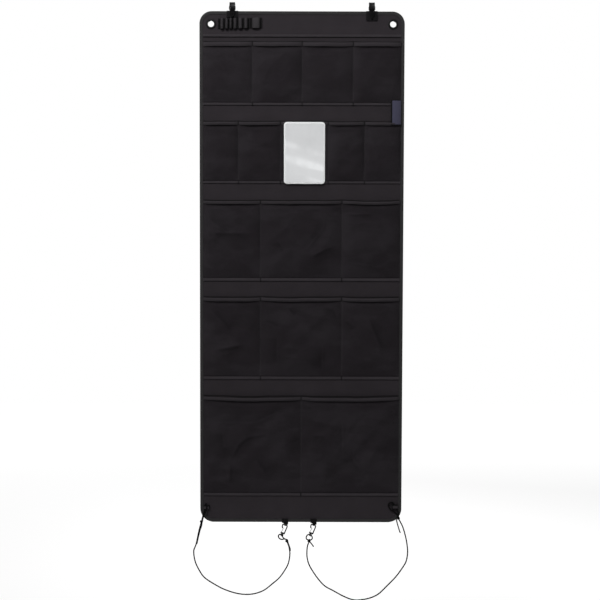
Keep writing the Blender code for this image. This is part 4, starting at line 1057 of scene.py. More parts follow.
def backing_levels(top, foot):
    """The z of each line of points up the panel: even ones, and close ones beside the tapes and hems."""
    fine = [HEADER_DEPTH + HEADER_HEIGHT + ahead for ahead in (-0.0010, 0.0, 0.0018, 0.0030)]
    for row in ROWS:
        fine += [row["mouth"] + ahead for ahead in (-0.0042, -0.0030, -0.0020, -0.0010, 0.0, 0.0010, 0.0022)]
        fine += [tape_of(row) + row["tape"] + ahead for ahead in (-0.0010, 0.0, 0.0008, 0.0018)]
    fine = [at_depth(depth) for depth in fine]
    plain = [foot + (top - foot) * k / BACKING_ROWS for k in range(BACKING_ROWS + 1)]
    return sorted(fine + [z for z in plain if min(abs(z - f) for f in fine) > 0.002])


def cut_round(bm, centre, reach, beyond):
    """Cuts the cloth along a circle. beyond says which points, from its centre, are cut off."""
    taken = {v for v in bm.verts if beyond(v.co.x - centre[0], v.co.z - centre[1])}
    gone = [f for f in bm.faces if all(v in taken for v in f.verts)]
    bmesh.ops.delete(bm, geom=gone, context="FACES")
    for vert in bm.verts:
        if vert in taken:
            way = Vector((vert.co.x - centre[0], 0, vert.co.z - centre[1])).normalized() * reach
            vert.co = (centre[0] + way.x, PANEL_FRONT, centre[1] + way.z)


def quilting(x, depth, half, held):
    """How far the panel's cloth swells back between what holds it; held gives the depths of its seams."""

    def free_at(away):
        return clamp(away / QUILT_EASE)

    edge = min(half - abs(x), depth - BINDING_STACK, PANEL_HEIGHT - BINDING_STACK - depth)
    free = free_at(edge - BINDING_WIDTH) * free_at(min(abs(depth - d) for d in held) - 0.004)
    for row in ROWS:
        if row["mouth"] < depth < tape_of(row):
            free *= free_at(min(abs(x - s) for s in seams_of(row)))
    for eyelet_x in EYELET_XS.values():
        free *= free_at(math.hypot(x - eyelet_x, depth - EYELET_DEPTH) - 0.013)
    wave = 0.55 + 0.45 * ripple(x, depth * 1.3, 2.0, 0.06) + 0.25 * ripple(x, depth, 5.0, 0.022)
    return QUILT_DEPTH * free * max(0.0, wave)


def make_backing():
    """The panel: a cloth with rounded corners and eyelet holes, quilting a little between its seams."""
    half = PANEL_WIDTH / 2 - BINDING_STACK
    top = PANEL_TOP - BINDING_STACK
    foot = PANEL_TOP - PANEL_HEIGHT + BINDING_STACK
    columns = 92
    zs = backing_levels(top, foot)

    def place(i, j):
        x = -half + 2 * half * i / (columns - 1)
        return Vector((x, PANEL_FRONT, zs[j])), (x, zs[j])

    # Painted shadow: dark lines on the panel under the header tape and above each hem
    def shade(x, depth, y):
        found = [0.8 * ramp(abs(depth - HEADER_DEPTH - HEADER_HEIGHT - 0.0008), 0.0009, 0.0022)]
        for row in ROWS:
            found.append(0.75 * ramp(abs(depth - hem_line(row, x) + 0.0010), 0.0010, 0.0024))
        return max(found) if y < PANEL_BACK - 0.0004 and abs(x) < SEAM_X else 0.0

    bm = net_of(columns, len(zs), place)
    for hand in (-1, 1):
        for z, radius, end in ((top, TOP_CORNER_RADIUS, 1), (foot, BOTTOM_CORNER_RADIUS, -1)):
            reach = radius - BINDING_STACK
            cut_round(bm, (hand * (half - reach), z - end * reach), reach,
                      lambda dx, dz: dx * hand > 0 and dz * end > 0 and math.hypot(dx, dz) > reach)
    hole = EYELET_BARREL + GAP
    for x in EYELET_XS.values():
        cut_round(bm, (x, at_depth(EYELET_DEPTH)), hole, lambda dx, dz: math.hypot(dx, dz) < hole)
    bmesh.ops.remove_doubles(bm, verts=bm.verts, dist=1e-5)
    held = [HEADER_DEPTH + HEADER_HEIGHT / 2]
    for row in ROWS:
        held += [row["mouth"], tape_of(row) + row["tape"] / 2]
    for vert in bm.verts:
        vert.co.y += quilting(vert.co.x, PANEL_TOP - vert.co.z, half, held)
    thicken(bm, (0, PANEL_THICKNESS, 0))
    return sewn_on("sewn_backing_panel", bm, "panel", "backing_panel", 60, shade)


def make_binding():
    """The tape folded round the edge, with a dip along its seam on both faces."""
    front, back = PANEL_FRONT - GAP, PANEL_BACK + GAP
    t = BINDING_THICKNESS
    dip = BINDING_SEAM_INSET
    face = (
        (BINDING_WIDTH, 0.0), (BINDING_WIDTH, 0.5), (BINDING_WIDTH - 0.0003, 0.95), (dip + 0.0008, 1.0),
        (dip, 0.72), (dip - 0.0008, 1.0), (0.0040, 1.08), (0.0022, 1.06), (0.0010, 0.92), (0.0003, 0.62),
    )
    section = [(inset, front - t * lift) for inset, lift in face]
    section += [(0.0, front + 0.1 * t), (-0.0001, (front + back) / 2), (0.0, back - 0.1 * t)]
    section += [(inset, back + t * lift) for inset, lift in reversed(face)]
    section += [(t, back), (t, front)]
    rings = []
    for point, way in outline(0.0):
        swell = 0.00012 * ripple(point.x, point.z, 11.0, 0.012)
        ring = []
        for inset, y in section:
            puff = swell if 0.0005 < inset < 0.0055 and (y < front or y > back) else 0.0
            ring.append(point + way * inset + Vector((0, y - puff if y < front else y + puff, 0)))
        rings.append(ring)
    sewn_on("sewn_edge_binding", skin(rings, closed=True), "binding", "edge_binding")
    path = [point for point, way in outline(BINDING_SEAM_INSET)]
    for name, y, out in (("front", front - 0.80 * t, OUT), ("back", back + 0.80 * t, -OUT)):
        line = [Vector((p.x, y, p.z)) for p in [*path, path[0]]]
        stitching(f"binding_seam_{name}", seam(line), out)


def make_header_tape():
    """The flat tape across the head, sewn along both of its edges."""
    middle = HEADER_DEPTH + HEADER_HEIGHT / 2
    line = level(-SEAM_X, SEAM_X, lambda x: middle + tape_waver(x, 0.0, 21.0), SHEET_BACK, 0.005)
    bm = band(line, UP, HEADER_THICKNESS, HEADER_HEIGHT, seams=(TAPE_SEAM_INSET,))

    # Painted shadow along the tape's lower edge
    def shade(x, depth, y):
        return ramp(HEADER_DEPTH + HEADER_HEIGHT - depth, 0.0003, 0.0006)

    sewn_on("sewn_header_tape", bm, "tape", "header_tape", shade=shade)
    front = SHEET_BACK - HEADER_THICKNESS + THREAD_SEAT
    stitching("header_seams", tape_seams(HEADER_DEPTH, HEADER_HEIGHT, front))


def elastic_line():
    """The strip's path as (x, rise) places, and the x of each place where it is sewn down."""
    line = [(ELASTIC_LEFT, 0.0)]
    feet = [ELASTIC_LEFT + 0.0022]
    at = ELASTIC_LEFT
    steps = 24
    for land, width, height in ELASTIC_LOOPS:
        centre, half = at + land + width / 2, width / 2 - GAP - ELASTIC_THICKNESS - 0.0005
        if land:
            line.append((at + land - 0.0004, 0.0))
            feet.append(at + land - 0.0012)
        for k in range(steps + 1):
            angle = math.pi * k / steps
            reach = half * math.cos(angle)
            rise = (height - ELASTIC_THICKNESS) * math.sin(angle) ** 0.8
            line.append((centre - reach * (1 + 0.10 * math.sin(angle) * abs(math.cos(angle))), rise))
        at += land + width
        feet.append(at)
    return [*line, (at + ELASTIC_END, 0.0)], feet


def make_elastic():
    """One strip of ribbed elastic in loops, sewn down between them with dense bars of stitches."""
    line, feet = elastic_line()
    middle = (line[0][0] + line[-1][0]) / 2

    def place(x, rise):
        z = at_depth(ELASTIC_DEPTH) + (x - middle) * math.tan(ELASTIC_LEAN)
        return Vector((x, SHEET_BACK - rise, z))

    # Painted shade in the valleys between the loops, down where they are sewn
    def shade(x, depth, y):
        deep = ramp(SHEET_BACK - ELASTIC_THICKNESS - y, 0.0060, 0.0080)
        return max(deep * hump(x - foot, 0.0041) for foot in feet[1:])

    path = smooth_curve([place(x, rise) for x, rise in line], 0.0008)
    bm = band(path, UP, ELASTIC_THICKNESS, ELASTIC_HEIGHT, seams=(0.0030, 0.0075))
    sewn_on("looped_elastic", bm, "elastic", "tool_loop_elastic", 60, shade)
    bars = []
    count = 26
    for foot in feet:
        base = place(foot, ELASTIC_THICKNESS + THREAD_SEAT)
        for k in range(count):
            z = base.z + (k / (count - 1) - 0.5) * (ELASTIC_HEIGHT - 0.003)
            bars.append((Vector((foot - 0.0009, base.y, z)), Vector((foot + 0.0009, base.y, z + 0.0004))))
    stitching("elastic_bars", bars, radius=0.00028, finish="black_thread")


# Pockets and label


def near_seams(row, step):
    """x places across a row, step apart and closer together beside its seams."""
    close, last = (0.0, 0.0006, 0.0013, 0.0022), 0.0034
    seams = seams_of(row)
    places = []
    for low, high in zip(seams, seams[1:]):
        inner_low, inner_high = low + last, high - last
        count = round((inner_high - inner_low) / step)
        places += [low + f for f in close]
        places += [inner_low + (inner_high - inner_low) * k / count for k in range(count + 1)]
        places += [high - f for f in reversed(close[1:])]
    return [*places, seams[-1]]


def make_sheet(row):
    """The mesh cloth of one row: full between its seams, folded by its own slackness."""
    top = row["mouth"] + HEM_THICKNESS + GAP
    free_top = under_hem(row)
    sewn = tape_of(row)
    foot = sewn + row["tape"]
    low, high = free_top + 0.0080, sewn - 0.0055
    count = round((high - low) / SHEET_STEP)
    marks = [foot, sewn, sewn - 0.0012, sewn - 0.0024, sewn - 0.0038]
    marks += [high + (low - high) * k / count for k in range(count + 1)]
    marks += [free_top + ahead for ahead in (0.0058, 0.0042, 0.0028, 0.0014, 0.0, -0.0020)] + [top]
    xs = near_seams(row, SHEET_STEP)

    def place(i, j):
        x = xs[i]
        depth = marks[j] + (hem_line(row, x) - row["mouth"]) * (foot - marks[j]) / (foot - top)
        return Vector((x, cloth_back(row, x, depth), at_depth(depth))), (x, depth)

    # Painted shade under the hem, fading down the pocket, above the bottom tape and beside each crease
    def shade(x, depth, y):
        below = max(0.0, depth - hem_line(row, x) - row["hem"])
        share = across(row, x)[1]
        under = hump(below, 0.0024) * (0.10 + 0.22 * share) + 0.22 * share * math.exp(-below / 0.013)
        by_tape = 0.5 * hump(max(0.0, sewn - depth), 0.0022)
        return min(1.0, max(under, by_tape) + creased(row, x, depth)[0])

    bm = net_of(len(xs), len(marks), place)
    thicken(bm, (0, -SHEET_THICKNESS, 0))
    name = row["name"]
    return sewn_on(f"{name}_pocket_cloth", bm, "net", f"{name}_pocket_sheet", 60, shade)


def pinch(row, x):
    """0 where a divider or a side seam draws the hem in, to 1 away from it."""
    return 1 - hump(min(abs(x - s) for s in seams_of(row)), 0.0022)


def near_divider(row, x):
    """1 on a divider's line, falling to 0 beside it."""
    return hump(min(abs(x - s) for s in row["dividers"]), 0.0013)


def hem_puff(row, x):
    """How far the hem's folded cloth stands out of its own thickness."""
    number, share = across(row, x)
    full = (0.0006 + 0.0011 * share) if row["depths"][number] else 0.0004
    return full * pinch(row, x) * (1 + 0.35 * ripple(x, row["mouth"], 37.0, 0.016))


def hem_front(row, x):
    """The y of the hem's front where its seam runs."""
    return hem_rear(row, x) - SHEET_THICKNESS - GAP - HEM_THICKNESS - HEM_SEAM_PUFF * hem_puff(row, x)


def make_hem(row):
    """The tape folded over the mouth of the pockets, puffed between the dividers that pinch it."""
    rings = []
    height, t = row["hem"], HEM_THICKNESS
    for x in near_seams(row, 0.0035):
        top = hem_line(row, x)
        foot = top + height
        rear = hem_rear(row, x)
        inner_back, inner_front = rear + GAP, rear - SHEET_THICKNESS - GAP
        outer_back, outer_front = inner_back + t, inner_front - t
        puff = hem_puff(row, x)
        seam_front, stitch = outer_front - HEM_SEAM_PUFF * puff, foot - HEM_SEAM_INSET
        section = (
            (outer_front + 0.4 * t, foot), (outer_front - 0.5 * puff, foot - 0.0002),
            (seam_front, stitch + 0.0006), (seam_front + 0.0002, stitch),
            (outer_front - 0.66 * puff, stitch - 0.0006), (outer_front - puff, foot - 0.38 * height),
            (outer_front - puff, top + 0.34 * height), (outer_front - 0.82 * puff, top + 0.0017),
            (outer_front - 0.70 * puff, top + 0.0011), (outer_front + 0.0001 - 0.3 * puff, top + 0.0005),
            (outer_front + 0.0005, top + 0.0001), (inner_front + 0.0003, top), (inner_back - 0.0003, top),
            (outer_back - 0.0004, top + 0.0003), (outer_back, top + 0.0009), (outer_back, foot),
            (inner_back, foot), (inner_back, top + t), (inner_front, top + t), (inner_front, foot),
        )
        rings.append([Vector((x, y, at_depth(d))) for y, d in section])

    # Painted shade along the hem's top and lower edges, and where a divider pinches it
    def shade(x, depth, y):
        top = hem_line(row, x)
        edges = max(ramp(depth - top, 0.0005, 0.0011), 0.45 * ramp(top + height - depth, 0.0002, 0.0010))
        return max(edges, DIVIDER_SHADE * near_divider(row, x))

    name = row["name"]
    return sewn_on(f"{name}_hem_tape", skin(rings), "hem", f"{name}_hem", 50, shade)


def make_bottom_tape(row):
    """The flat tape over the foot of the pockets."""
    name = row["name"]
    middle = tape_of(row) + row["tape"] / 2
    places = [(x, middle + tape_waver(x, row["mouth"], 41.0)) for x in near_seams(row, 0.006)]
    line = [Vector((x, SHEET_BACK - SHEET_THICKNESS - GAP, at_depth(depth))) for x, depth in places]
    bm = band(line, UP, TAPE_THICKNESS, row["tape"], seams=(TAPE_SEAM_INSET,))

    # Painted shade where a divider pinches the tape
    def shade(x, depth, y):
        return DIVIDER_SHADE * near_divider(row, x)

    return sewn_on(f"{name}_foot_tape", bm, "tape", f"{name}_bottom_tape", shade=shade)


def make_row_seams(row):
    """The stitches of a row: along its tape and hem, down its dividers, and bars where these cross."""
    name = row["name"]
    foot = tape_of(row)
    tape_front = SHEET_BACK - SHEET_THICKNESS - GAP - TAPE_THICKNESS + THREAD_SEAT

    def hem_foot(x):
        return hem_line(row, x) + row["hem"] - HEM_SEAM_INSET

    found = tape_seams(foot, row["tape"], tape_front)
    found += seam_across(hem_foot, lambda x: hem_front(row, x) + THREAD_SEAT, 0.004)
    down, bars = [], []
    steps = 40
    for x in row["dividers"]:
        top = hem_line(row, x)
        low, high = top + row["hem"] + 0.001, foot - 0.001
        for beside in (x - TWIN_SEAM_HALF, x + TWIN_SEAM_HALF):
            line = []
            for k in range(steps + 1):
                depth = low + (high - low) * k / steps
                y = cloth_back(row, beside, depth) - SHEET_THICKNESS
                line.append(Vector((beside, y, at_depth(depth))))
            down += seam(line)
        for start, height, y in (
            (top + 0.0003, row["hem"] - 0.0004, hem_front(row, x)),
            (foot + 0.0002, row["tape"] + 0.0008, tape_front),
        ):
            count = round(height / BAR_PITCH)
            for k in range(count):
                z = at_depth(start + height * k / (count - 1))
                bars.append((Vector((x - BAR_HALF, y, z)), Vector((x + BAR_HALF, y, z - 0.0002))))
    heavy = HEAVY_THREAD_RADIUS
    stitching(f"{name}_divider_seams", down, radius=heavy, finish="pale_thread")
    bar_piece = stitching(f"{name}_bars", bars, radius=heavy, finish="black_thread")
    return stitching(f"{name}_seams", found), bar_piece


def make_row(row):
    """The pocket sheet of one row with its hem, tape and seams."""
    sheet = make_sheet(row)
    hem = make_hem(row)
    tape = make_bottom_tape(row)
    seams, bars = make_row_seams(row)


def make_back_seams():
    """The same seams where they come through at the back of the panel."""
    y = PANEL_BACK + THREAD_SEAT
    found = tape_seams(HEADER_DEPTH, HEADER_HEIGHT, y)
    for row in ROWS:
        found += tape_seams(tape_of(row), row["tape"], y)
    for row in ROWS:
        top, foot = at_depth(row["mouth"] + 0.001), at_depth(tape_of(row) - 0.001)
        for x in row["dividers"]:
            for beside in (x - TWIN_SEAM_HALF, x + TWIN_SEAM_HALF):
                found += seam([Vector((beside, y, top)), Vector((beside, y, foot))])
    stitching("panel_back_seams", found, -OUT)


def make_label():
    """A bare woven label, sewn in at the right side and lying out over the hem below it."""
    row = ROWS[1]
    slope = math.tan(LABEL_LEAN)
    middle = LABEL_TOP + LABEL_HEIGHT / 2
    steps = 18
    line = []
    for k in range(steps + 1):
        x = SEAM_X - LABEL_WIDTH * (1 - k / steps)
        y = hem_rear(row, x) - SHEET_THICKNESS - GAP - HEM_THICKNESS - LABEL_CLEARANCE
        line.append(Vector((x, y, at_depth(middle) + (x - SEAM_X) * slope)))
    bm = band(line, UP, LABEL_THICKNESS, LABEL_HEIGHT, seams=(0.0016,))

    # The label's colour goes dark along its left, top and bottom edges
    def shade(x, depth, y):
        from_left = x - SEAM_X + LABEL_WIDTH
        from_middle = abs(depth - middle - (SEAM_X - x) * slope)
        return max(ramp(from_left, 0.0028, 0.0042), ramp(LABEL_HEIGHT / 2 - from_middle, 0.0016, 0.0023))

    sewn_on("woven_label", bm, "label", "side_label", shade=shade)
    end = LABEL_HEIGHT / 2 - 0.003
    edge = [Vector((SEAM_X - 0.0015, line[-2].y - LABEL_THICKNESS, line[-1].z + z)) for z in (end, -end)]
    stitching("label_seam", seam(edge, 0.0026))


# Mirror


def make_mirror():
    """The plate: a clear face within a rounded rim that falls away a little."""
    half, height = MIRROR_SIZE[0] / 2, MIRROR_SIZE[1]
    top = at_depth(MIRROR_TOP)
    places = ((-half, top - height), (half, top - height), (half, top), (-half, top))
    bm = bmesh.new()
    bm.faces.new([bm.verts.new((MIRROR_X + a, MIRROR_BACK - MIRROR_THICKNESS, z)) for a, z in places])
    bmesh.ops.bevel(
        bm, geom=list(bm.verts), offset=MIRROR_CORNER, segments=12, profile=0.5, affect="VERTICES",
        material=-1,
    )
    bm.faces.ensure_lookup_table()
    glass = bm.faces[0]
    bmesh.ops.inset_region(bm, faces=[glass], thickness=MIRROR_RIM, use_boundary=True, use_even_offset=True)
    edge = [v for v in bm.verts if v not in set(glass.verts)]
    bmesh.ops.translate(bm, verts=edge, vec=(0, MIRROR_RIM_DROP, 0))
    made = bmesh.ops.extrude_edge_only(bm, edges=[e for e in bm.edges if e.is_boundary])["geom"]
    back = [g for g in made if isinstance(g, bmesh.types.BMVert)]
    bmesh.ops.translate(bm, verts=back, vec=(0, MIRROR_THICKNESS - MIRROR_RIM_DROP, 0))
    bmesh.ops.holes_fill(bm, edges=[e for e in bm.edges if e.is_boundary], sides=0)
    for face in bm.faces:
        face.material_index = 0 if face == glass else 1
    ease_edges(bm, 0.0003, angle=50)
    piece("lift_off_mirror", bm, "mirror", "mirror", "mirror_plate", smooth=8, second="rim")


def make_mirror_tapes():
    """Two loop tapes that stay with the panel, and on the mirror's back the hook tapes that hold to them."""
    sheet_front = SHEET_BACK - SHEET_THICKNESS
    thickness = (sheet_front - MIRROR_BACK - 3 * GAP) / 2
    half, height = MIRROR_TAPE_WIDTH / 2, MIRROR_TAPE_HEIGHT
    upper = MIRROR_TOP + MIRROR_TAPE_INSET
    lower = MIRROR_TOP + MIRROR_SIZE[1] - MIRROR_TAPE_INSET - height
    for place, depth in (("upper", upper), ("lower", lower)):
        for kind, rear, body in (
            ("loop", sheet_front - GAP, "organizer"), ("hook", sheet_front - 2 * GAP - thickness, "mirror")
        ):
            line = level(MIRROR_X - half, MIRROR_X + half, depth + height / 2, rear, 0.004)
            name, node = f"{kind}_strip_{place}", f"mirror_{kind}_tape_{place}"
            piece(name, band(line, UP, thickness, height), "pile", body, node)


# Eyelets, patches and hooks


def make_eyelet(side, x):
    """The flange with its barrel, rolled over at the back, and the washer under the roll."""
    centre = (x, at_depth(EYELET_DEPTH))
    back = PANEL_FRONT - GAP
    front = back - EYELET_HEIGHT
    roll = PANEL_BACK + GAP + WASHER_THICKNESS + GAP
    bore, flange, rolled = EYELET_BORE, EYELET_FLANGE, EYELET_ROLL
    profile = (
        (bore, front + 0.0009), (bore + 0.0002, front + 0.0004), (bore + 0.0006, front + 0.0001),
        (bore + 0.0013, front), (flange - 0.0018, front), (flange - 0.0009, front + 0.0002),
        (flange - 0.0003, front + 0.0006), (flange, back - 0.0001), (flange - 0.0001, back),
        (EYELET_BARREL, back), (EYELET_BARREL, roll), (rolled, roll), (rolled + 0.0002, roll + 0.0002),
        (rolled, roll + 0.0006), (rolled - 0.0005, roll + 0.0009), (bore + 0.0010, roll + 0.0009),
        (bore + 0.0004, roll + 0.0007), (bore, roll + 0.0003),
    )
    inner, outer = EYELET_BARREL + GAP, WASHER_RADIUS
    face = PANEL_BACK + GAP
    rear = face + WASHER_THICKNESS
    washer = (
        (inner, face), (inner, rear), (outer - 0.0005, rear), (outer - 0.0001, rear - 0.0002),
        (outer, face + 0.0002), (outer, face),
    )
    for node, shape in ((f"eyelet_{side}", profile), (f"eyelet_{side}_washer", washer)):
        sewn_on(f"turned_{node}", turned(shape, centre), "metal", node, 60)


def make_patch(side, x):
    """The patch folded over the panel's edge, with a box of stitches."""
    front = PANEL_FRONT - BINDING_STACK - GAP
    back = PANEL_BACK + BINDING_STACK + GAP
    foot = PANEL_TOP - PATCH_HEIGHT[side]
    top = PANEL_TOP + GAP
    turn = 0.0006
    middle, reach = (front + back) / 2, (back - front) / 2
    line = [(front, foot), (front, foot + 0.004), (front, top - turn)]
    for k in range(1, 8):
        angle = math.pi * k / 8
        line.append((middle - reach * math.cos(angle), top - turn + turn * math.sin(angle)))
    line += [(back, top - turn), (back, foot + 0.004), (back, foot)]
    points = [Vector((x, y, z)) for y, z in line]
    bm = band(points, ACROSS, PATCH_THICKNESS, PATCH_WIDTH, seams=(PATCH_SEAM_INSET,))
    sewn_on(f"sewn_hook_{side}_patch", bm, "patch", f"hook_{side}_patch", 50)
    half, low, high = PATCH_WIDTH / 2 - PATCH_SEAM_INSET, foot + PATCH_SEAM_INSET, top - 0.003
    lift = PATCH_THICKNESS - THREAD_SEAT
    for name, y, out in (("front", front - lift, OUT), ("back", back + lift, -OUT)):
        box = [Vector((x + a, y, z)) for a, z in ((-half, high), (-half, low), (half, low), (half, high))]
        stitching(f"patch_{side}_seam_{name}", seam(box, 0.0028), out)


def loop_line(x, centre_y, bar_z, bore, away, length):
    """Points inside a webbing that is folded round a bar: its front layer, the turn and its rear one."""
    front, rear = centre_y - TAB_LAYER_GAP, centre_y + TAB_LAYER_GAP
    neck = bar_z + away * (bore + 0.0022) * 1.35
    line = [(front, bar_z + away * length * (1 - k / 6)) for k in range(5)]
    line.append((front, neck))
    steps = 16
    spread = math.radians(28)
    for k in range(steps + 1):
        angle = -math.pi + spread + (2 * math.pi - 2 * spread) * k / steps
        line.append((centre_y + bore * math.sin(angle), bar_z - away * bore * math.cos(angle)))
    line.append((rear, neck))
    line += [(rear, bar_z + away * length * (k / 6)) for k in range(2, 7)]
    return [Vector((x, y, z)) for y, z in line]


def make_hook_tab(side, x):
    """The webbing that holds the hook's bar: narrow between its arms, and cut to a point at the foot."""
    narrow = HOOK_BASE_WIDTH - 2 * (HOOK_ARM_WIDTH + GAP)
    clear = HOOK_EYE_RADIUS + 2 * GAP
    foot, shoulder = HOOK_TAB_FOOT[side], HOOK_TAB_SHOULDER
    line = loop_line(x, HOOK_Y, HOOK_BAR_Z, HOOK_BAR_RADIUS + GAP, -1, foot)
    widths = []
    for point in line:
        along = HOOK_BAR_Z - point.z
        if along <= shoulder:
            widths.append(narrow + (HOOK_TAB_WIDTH - narrow) * clamp((along - clear) / 0.0012))
        else:
            widths.append(HOOK_TAB_WIDTH * (1 - 0.8 * (along - shoulder) / (foot - shoulder)))
    bm = band(line, ACROSS, WEBBING_THICKNESS, widths)
    sewn_on(f"sewn_hook_{side}_tab", bm, "tab", f"hook_{side}_tab", 50)
    y = HOOK_Y - WEBBING_THICKNESS + THREAD_SEAT
    half = HOOK_TAB_WIDTH / 2 - TAB_SEAM_INSET
    top, tip = HOOK_BAR_Z - shoulder + TAB_SEAM_DROP, HOOK_BAR_Z - foot + TAB_SEAM_DROP
    triangle = [Vector((x + a, y, z)) for a, z in ((-half, top), (0, tip), (half, top), (-half, top))]
    stitching(f"hook_{side}_tab_seam", seam(triangle, TAB_STITCH_PITCH))


def hook_section(width, dip, rise):
    """(across, outward) points of the ribbed strip: two raised edges, and a web lower by its dip."""
    half, low, rib = width / 2, HOOK_THICKNESS / 2, HOOK_RIB_WIDTH
    top = low + rise
    web = top - (HOOK_THICKNESS - HOOK_WEB_THICKNESS) * dip
    edge = 0.0004
    right = (
        (half - edge, -low), (half, -low + edge), (half, top - edge), (half - edge, top),
        (half - 0.62 * rib, top), (half - 0.75 * rib, top - 0.0002), (half - 0.95 * rib, web + 0.0001),
        (half - 1.1 * rib, web),
    )
    left = [(-a, b) for a, b in right]
    return [left[0], *right, *reversed(left[1:])]


def hook_path():
    """(y, z, turn, width) along the strip: from its window up, over the crown and down to the flared tip."""
    radius = HOOK_THROAT / 2 + HOOK_THICKNESS / 2
    crown = -HOOK_THROAT / 2
    straight = HOOK_BACK_LENGTH * 0.5
    path = [(HOOK_Y, HOOK_WINDOW, 0.0, HOOK_BASE_WIDTH)]
    steps = 44
    for k in range(steps + 1):
        turn = math.pi * k / steps
        width = HOOK_CROWN_WIDTH + (HOOK_TIP_WIDTH - HOOK_CROWN_WIDTH) * max(0.0, turn / math.pi - 0.5) * 2
        width += (HOOK_BASE_WIDTH - HOOK_CROWN_WIDTH) * max(0.0, 1 - k / 6) ** 2
        path.append((-radius * math.cos(turn), crown + radius * math.sin(turn), turn, width))
    flare = math.atan2(HOOK_TIP_FLARE, straight)
    path += [(radius, crown - straight * k / 3, math.pi, HOOK_TIP_WIDTH) for k in range(1, 4)]
    for share in (0.25, 0.5, 0.75, 1.0):
        y, z = radius + HOOK_TIP_FLARE * share**1.5, crown - straight * (1 + share)
        path.append((y, z, math.pi - flare * share, HOOK_TIP_WIDTH * (1 - 0.04 * share)))
    return path


def make_hook(side, x):
    """A ribbed strip bent over the pole, with two arms, a barrel on each and a bar between them."""
    rings = []
    for y, z, turn, width in hook_path():
        outward = Vector((0, -math.cos(turn), math.sin(turn)))
        crowned = math.sin(turn) ** 2
        section = hook_section(width, 1 - 0.75 * crowned, HOOK_CROWN_RISE * crowned)
        rings.append([Vector((x + a, y, z)) + outward * b for a, b in section])
    bm = ease_edges(skin(rings), 0.00035, angle=60)
    inner = HOOK_BASE_WIDTH / 2 - HOOK_ARM_WIDTH
    front, back = HOOK_Y - HOOK_THICKNESS / 2, HOOK_Y + HOOK_THICKNESS / 2

    def rod(low, high, radius):
        return tube([Vector((low, HOOK_Y, HOOK_BAR_Z)), Vector((high, HOOK_Y, HOOK_BAR_Z))], radius, 32)

    for hand in (-1, 1):
        low, high = sorted((x + hand * inner, x + hand * HOOK_BASE_WIDTH / 2))
        add_to(bm, block((low, front, HOOK_BAR_Z), (high, back, HOOK_WINDOW + 0.0012), 0.0004))
        add_to(bm, ease_edges(rod(low + 0.0002, high - 0.0002, HOOK_EYE_RADIUS), 0.0002))
    add_to(bm, rod(x - inner - 0.001, x + inner + 0.001, HOOK_BAR_RADIUS))
    name, node = f"moulded_hook_{side}", f"hanging_hook_{side}"
    piece(name, bm, "plastic", f"hook_{side}", node, smooth=35)


# Clips


def clip_point(x, u, w, y=0.0):
    turned_u = u * math.cos(CLIP_LEAN) - w * math.sin(CLIP_LEAN)
    turned_w = w * math.cos(CLIP_LEAN) + u * math.sin(CLIP_LEAN)
    return Vector((x + turned_u, CLIP_Y + y, CLIP_BAR_Z - turned_w))


def in_clip(bm, x):
    """Turns a shape made with u along X, depth along Y and w down Z into its clip's place."""
    turn = Matrix.Translation((x, CLIP_Y, CLIP_BAR_Z)) @ Matrix.Rotation(CLIP_LEAN, 4, "Y")
    bmesh.ops.transform(bm, matrix=turn, verts=bm.verts)
    return bm


def make_clip(side, x):
    """The clip's body: one bent wire through its tab, a collar, a ring eye below it and the gate's studs."""
    half_bar = CLIP_TAB_LOOP_WIDTH / 2 + (CLIP_WIRE + GAP + WEBBING_THICKNESS) * math.tan(CLIP_LEAN) + GAP
    wire = (
        *CLIP_NOSE, (-half_bar, 0.0), (half_bar, 0.0), (0.0053, 0.0008), (0.0063, 0.0025), (0.0064, 0.0045),
        (0.0062, 0.0080), (0.0057, 0.0145), (0.0052, COLLAR["top"] + 0.0015),
    )
    bm = tube(smooth_curve([clip_point(x, u, w) for u, w in wire], 0.0007), CLIP_WIRE, 18, 5)
    depth = COLLAR["half_depth"]
    low, high = (COLLAR["left"], -depth, -COLLAR["foot"]), (COLLAR["right"], depth, -COLLAR["top"])
    add_to(bm, in_clip(block(low, high, 0.0007, 3), x))
    ring = circle(Vector((CLIP_EYE_U, CLIP_EYE_DROP)), Vector((1, 0)), Vector((0, 1)), CLIP_EYE_RADIUS, 40)
    add_to(bm, hoop([clip_point(x, u, w) for u, w in ring], CLIP_EYE_WIRE))
    for hand in (-1, 1):
        stud = [clip_point(x, *GATE_PIVOT, hand * (depth + reach)) for reach in (-0.0002, 0.00025)]
        add_to(bm, tube(stud, 0.00085, 16, 3))
    piece(f"bent_clip_{side}", bm, "metal", f"clip_{side}", f"clip_{side}_body")


def make_gate(side, x):
    """The clip's gate: a thin wire bail from stud to stud, which closes behind the nose."""
    out = COLLAR["half_depth"] + GAP + GATE_WIRE
    u, w = GATE_PIVOT
    shut = CLIP_NOSE[0][0] + CLIP_WIRE + GATE_WIRE + GAP + 0.0004
    half = 0.0016
    front = (
        (u, w, 0.0010), (u, w, out - 0.0004), (u, w - 0.0005, out), (u + 0.0003, COLLAR["top"] - 0.002, out),
        (shut, GATE_TOP + 0.0012, half), (shut, GATE_TOP, half - 0.0005),
    )
    bail = [*((a, b, -y) for a, b, y in front), *reversed(front)]
    points = smooth_curve([clip_point(x, a, b, y) for a, b, y in bail], 0.0005)
    name, node = f"sprung_gate_{side}", f"clip_{side}_gate"
    piece(name, tube(points, GATE_WIRE, 12, 3), "wire", f"gate_{side}", node, smooth=60)


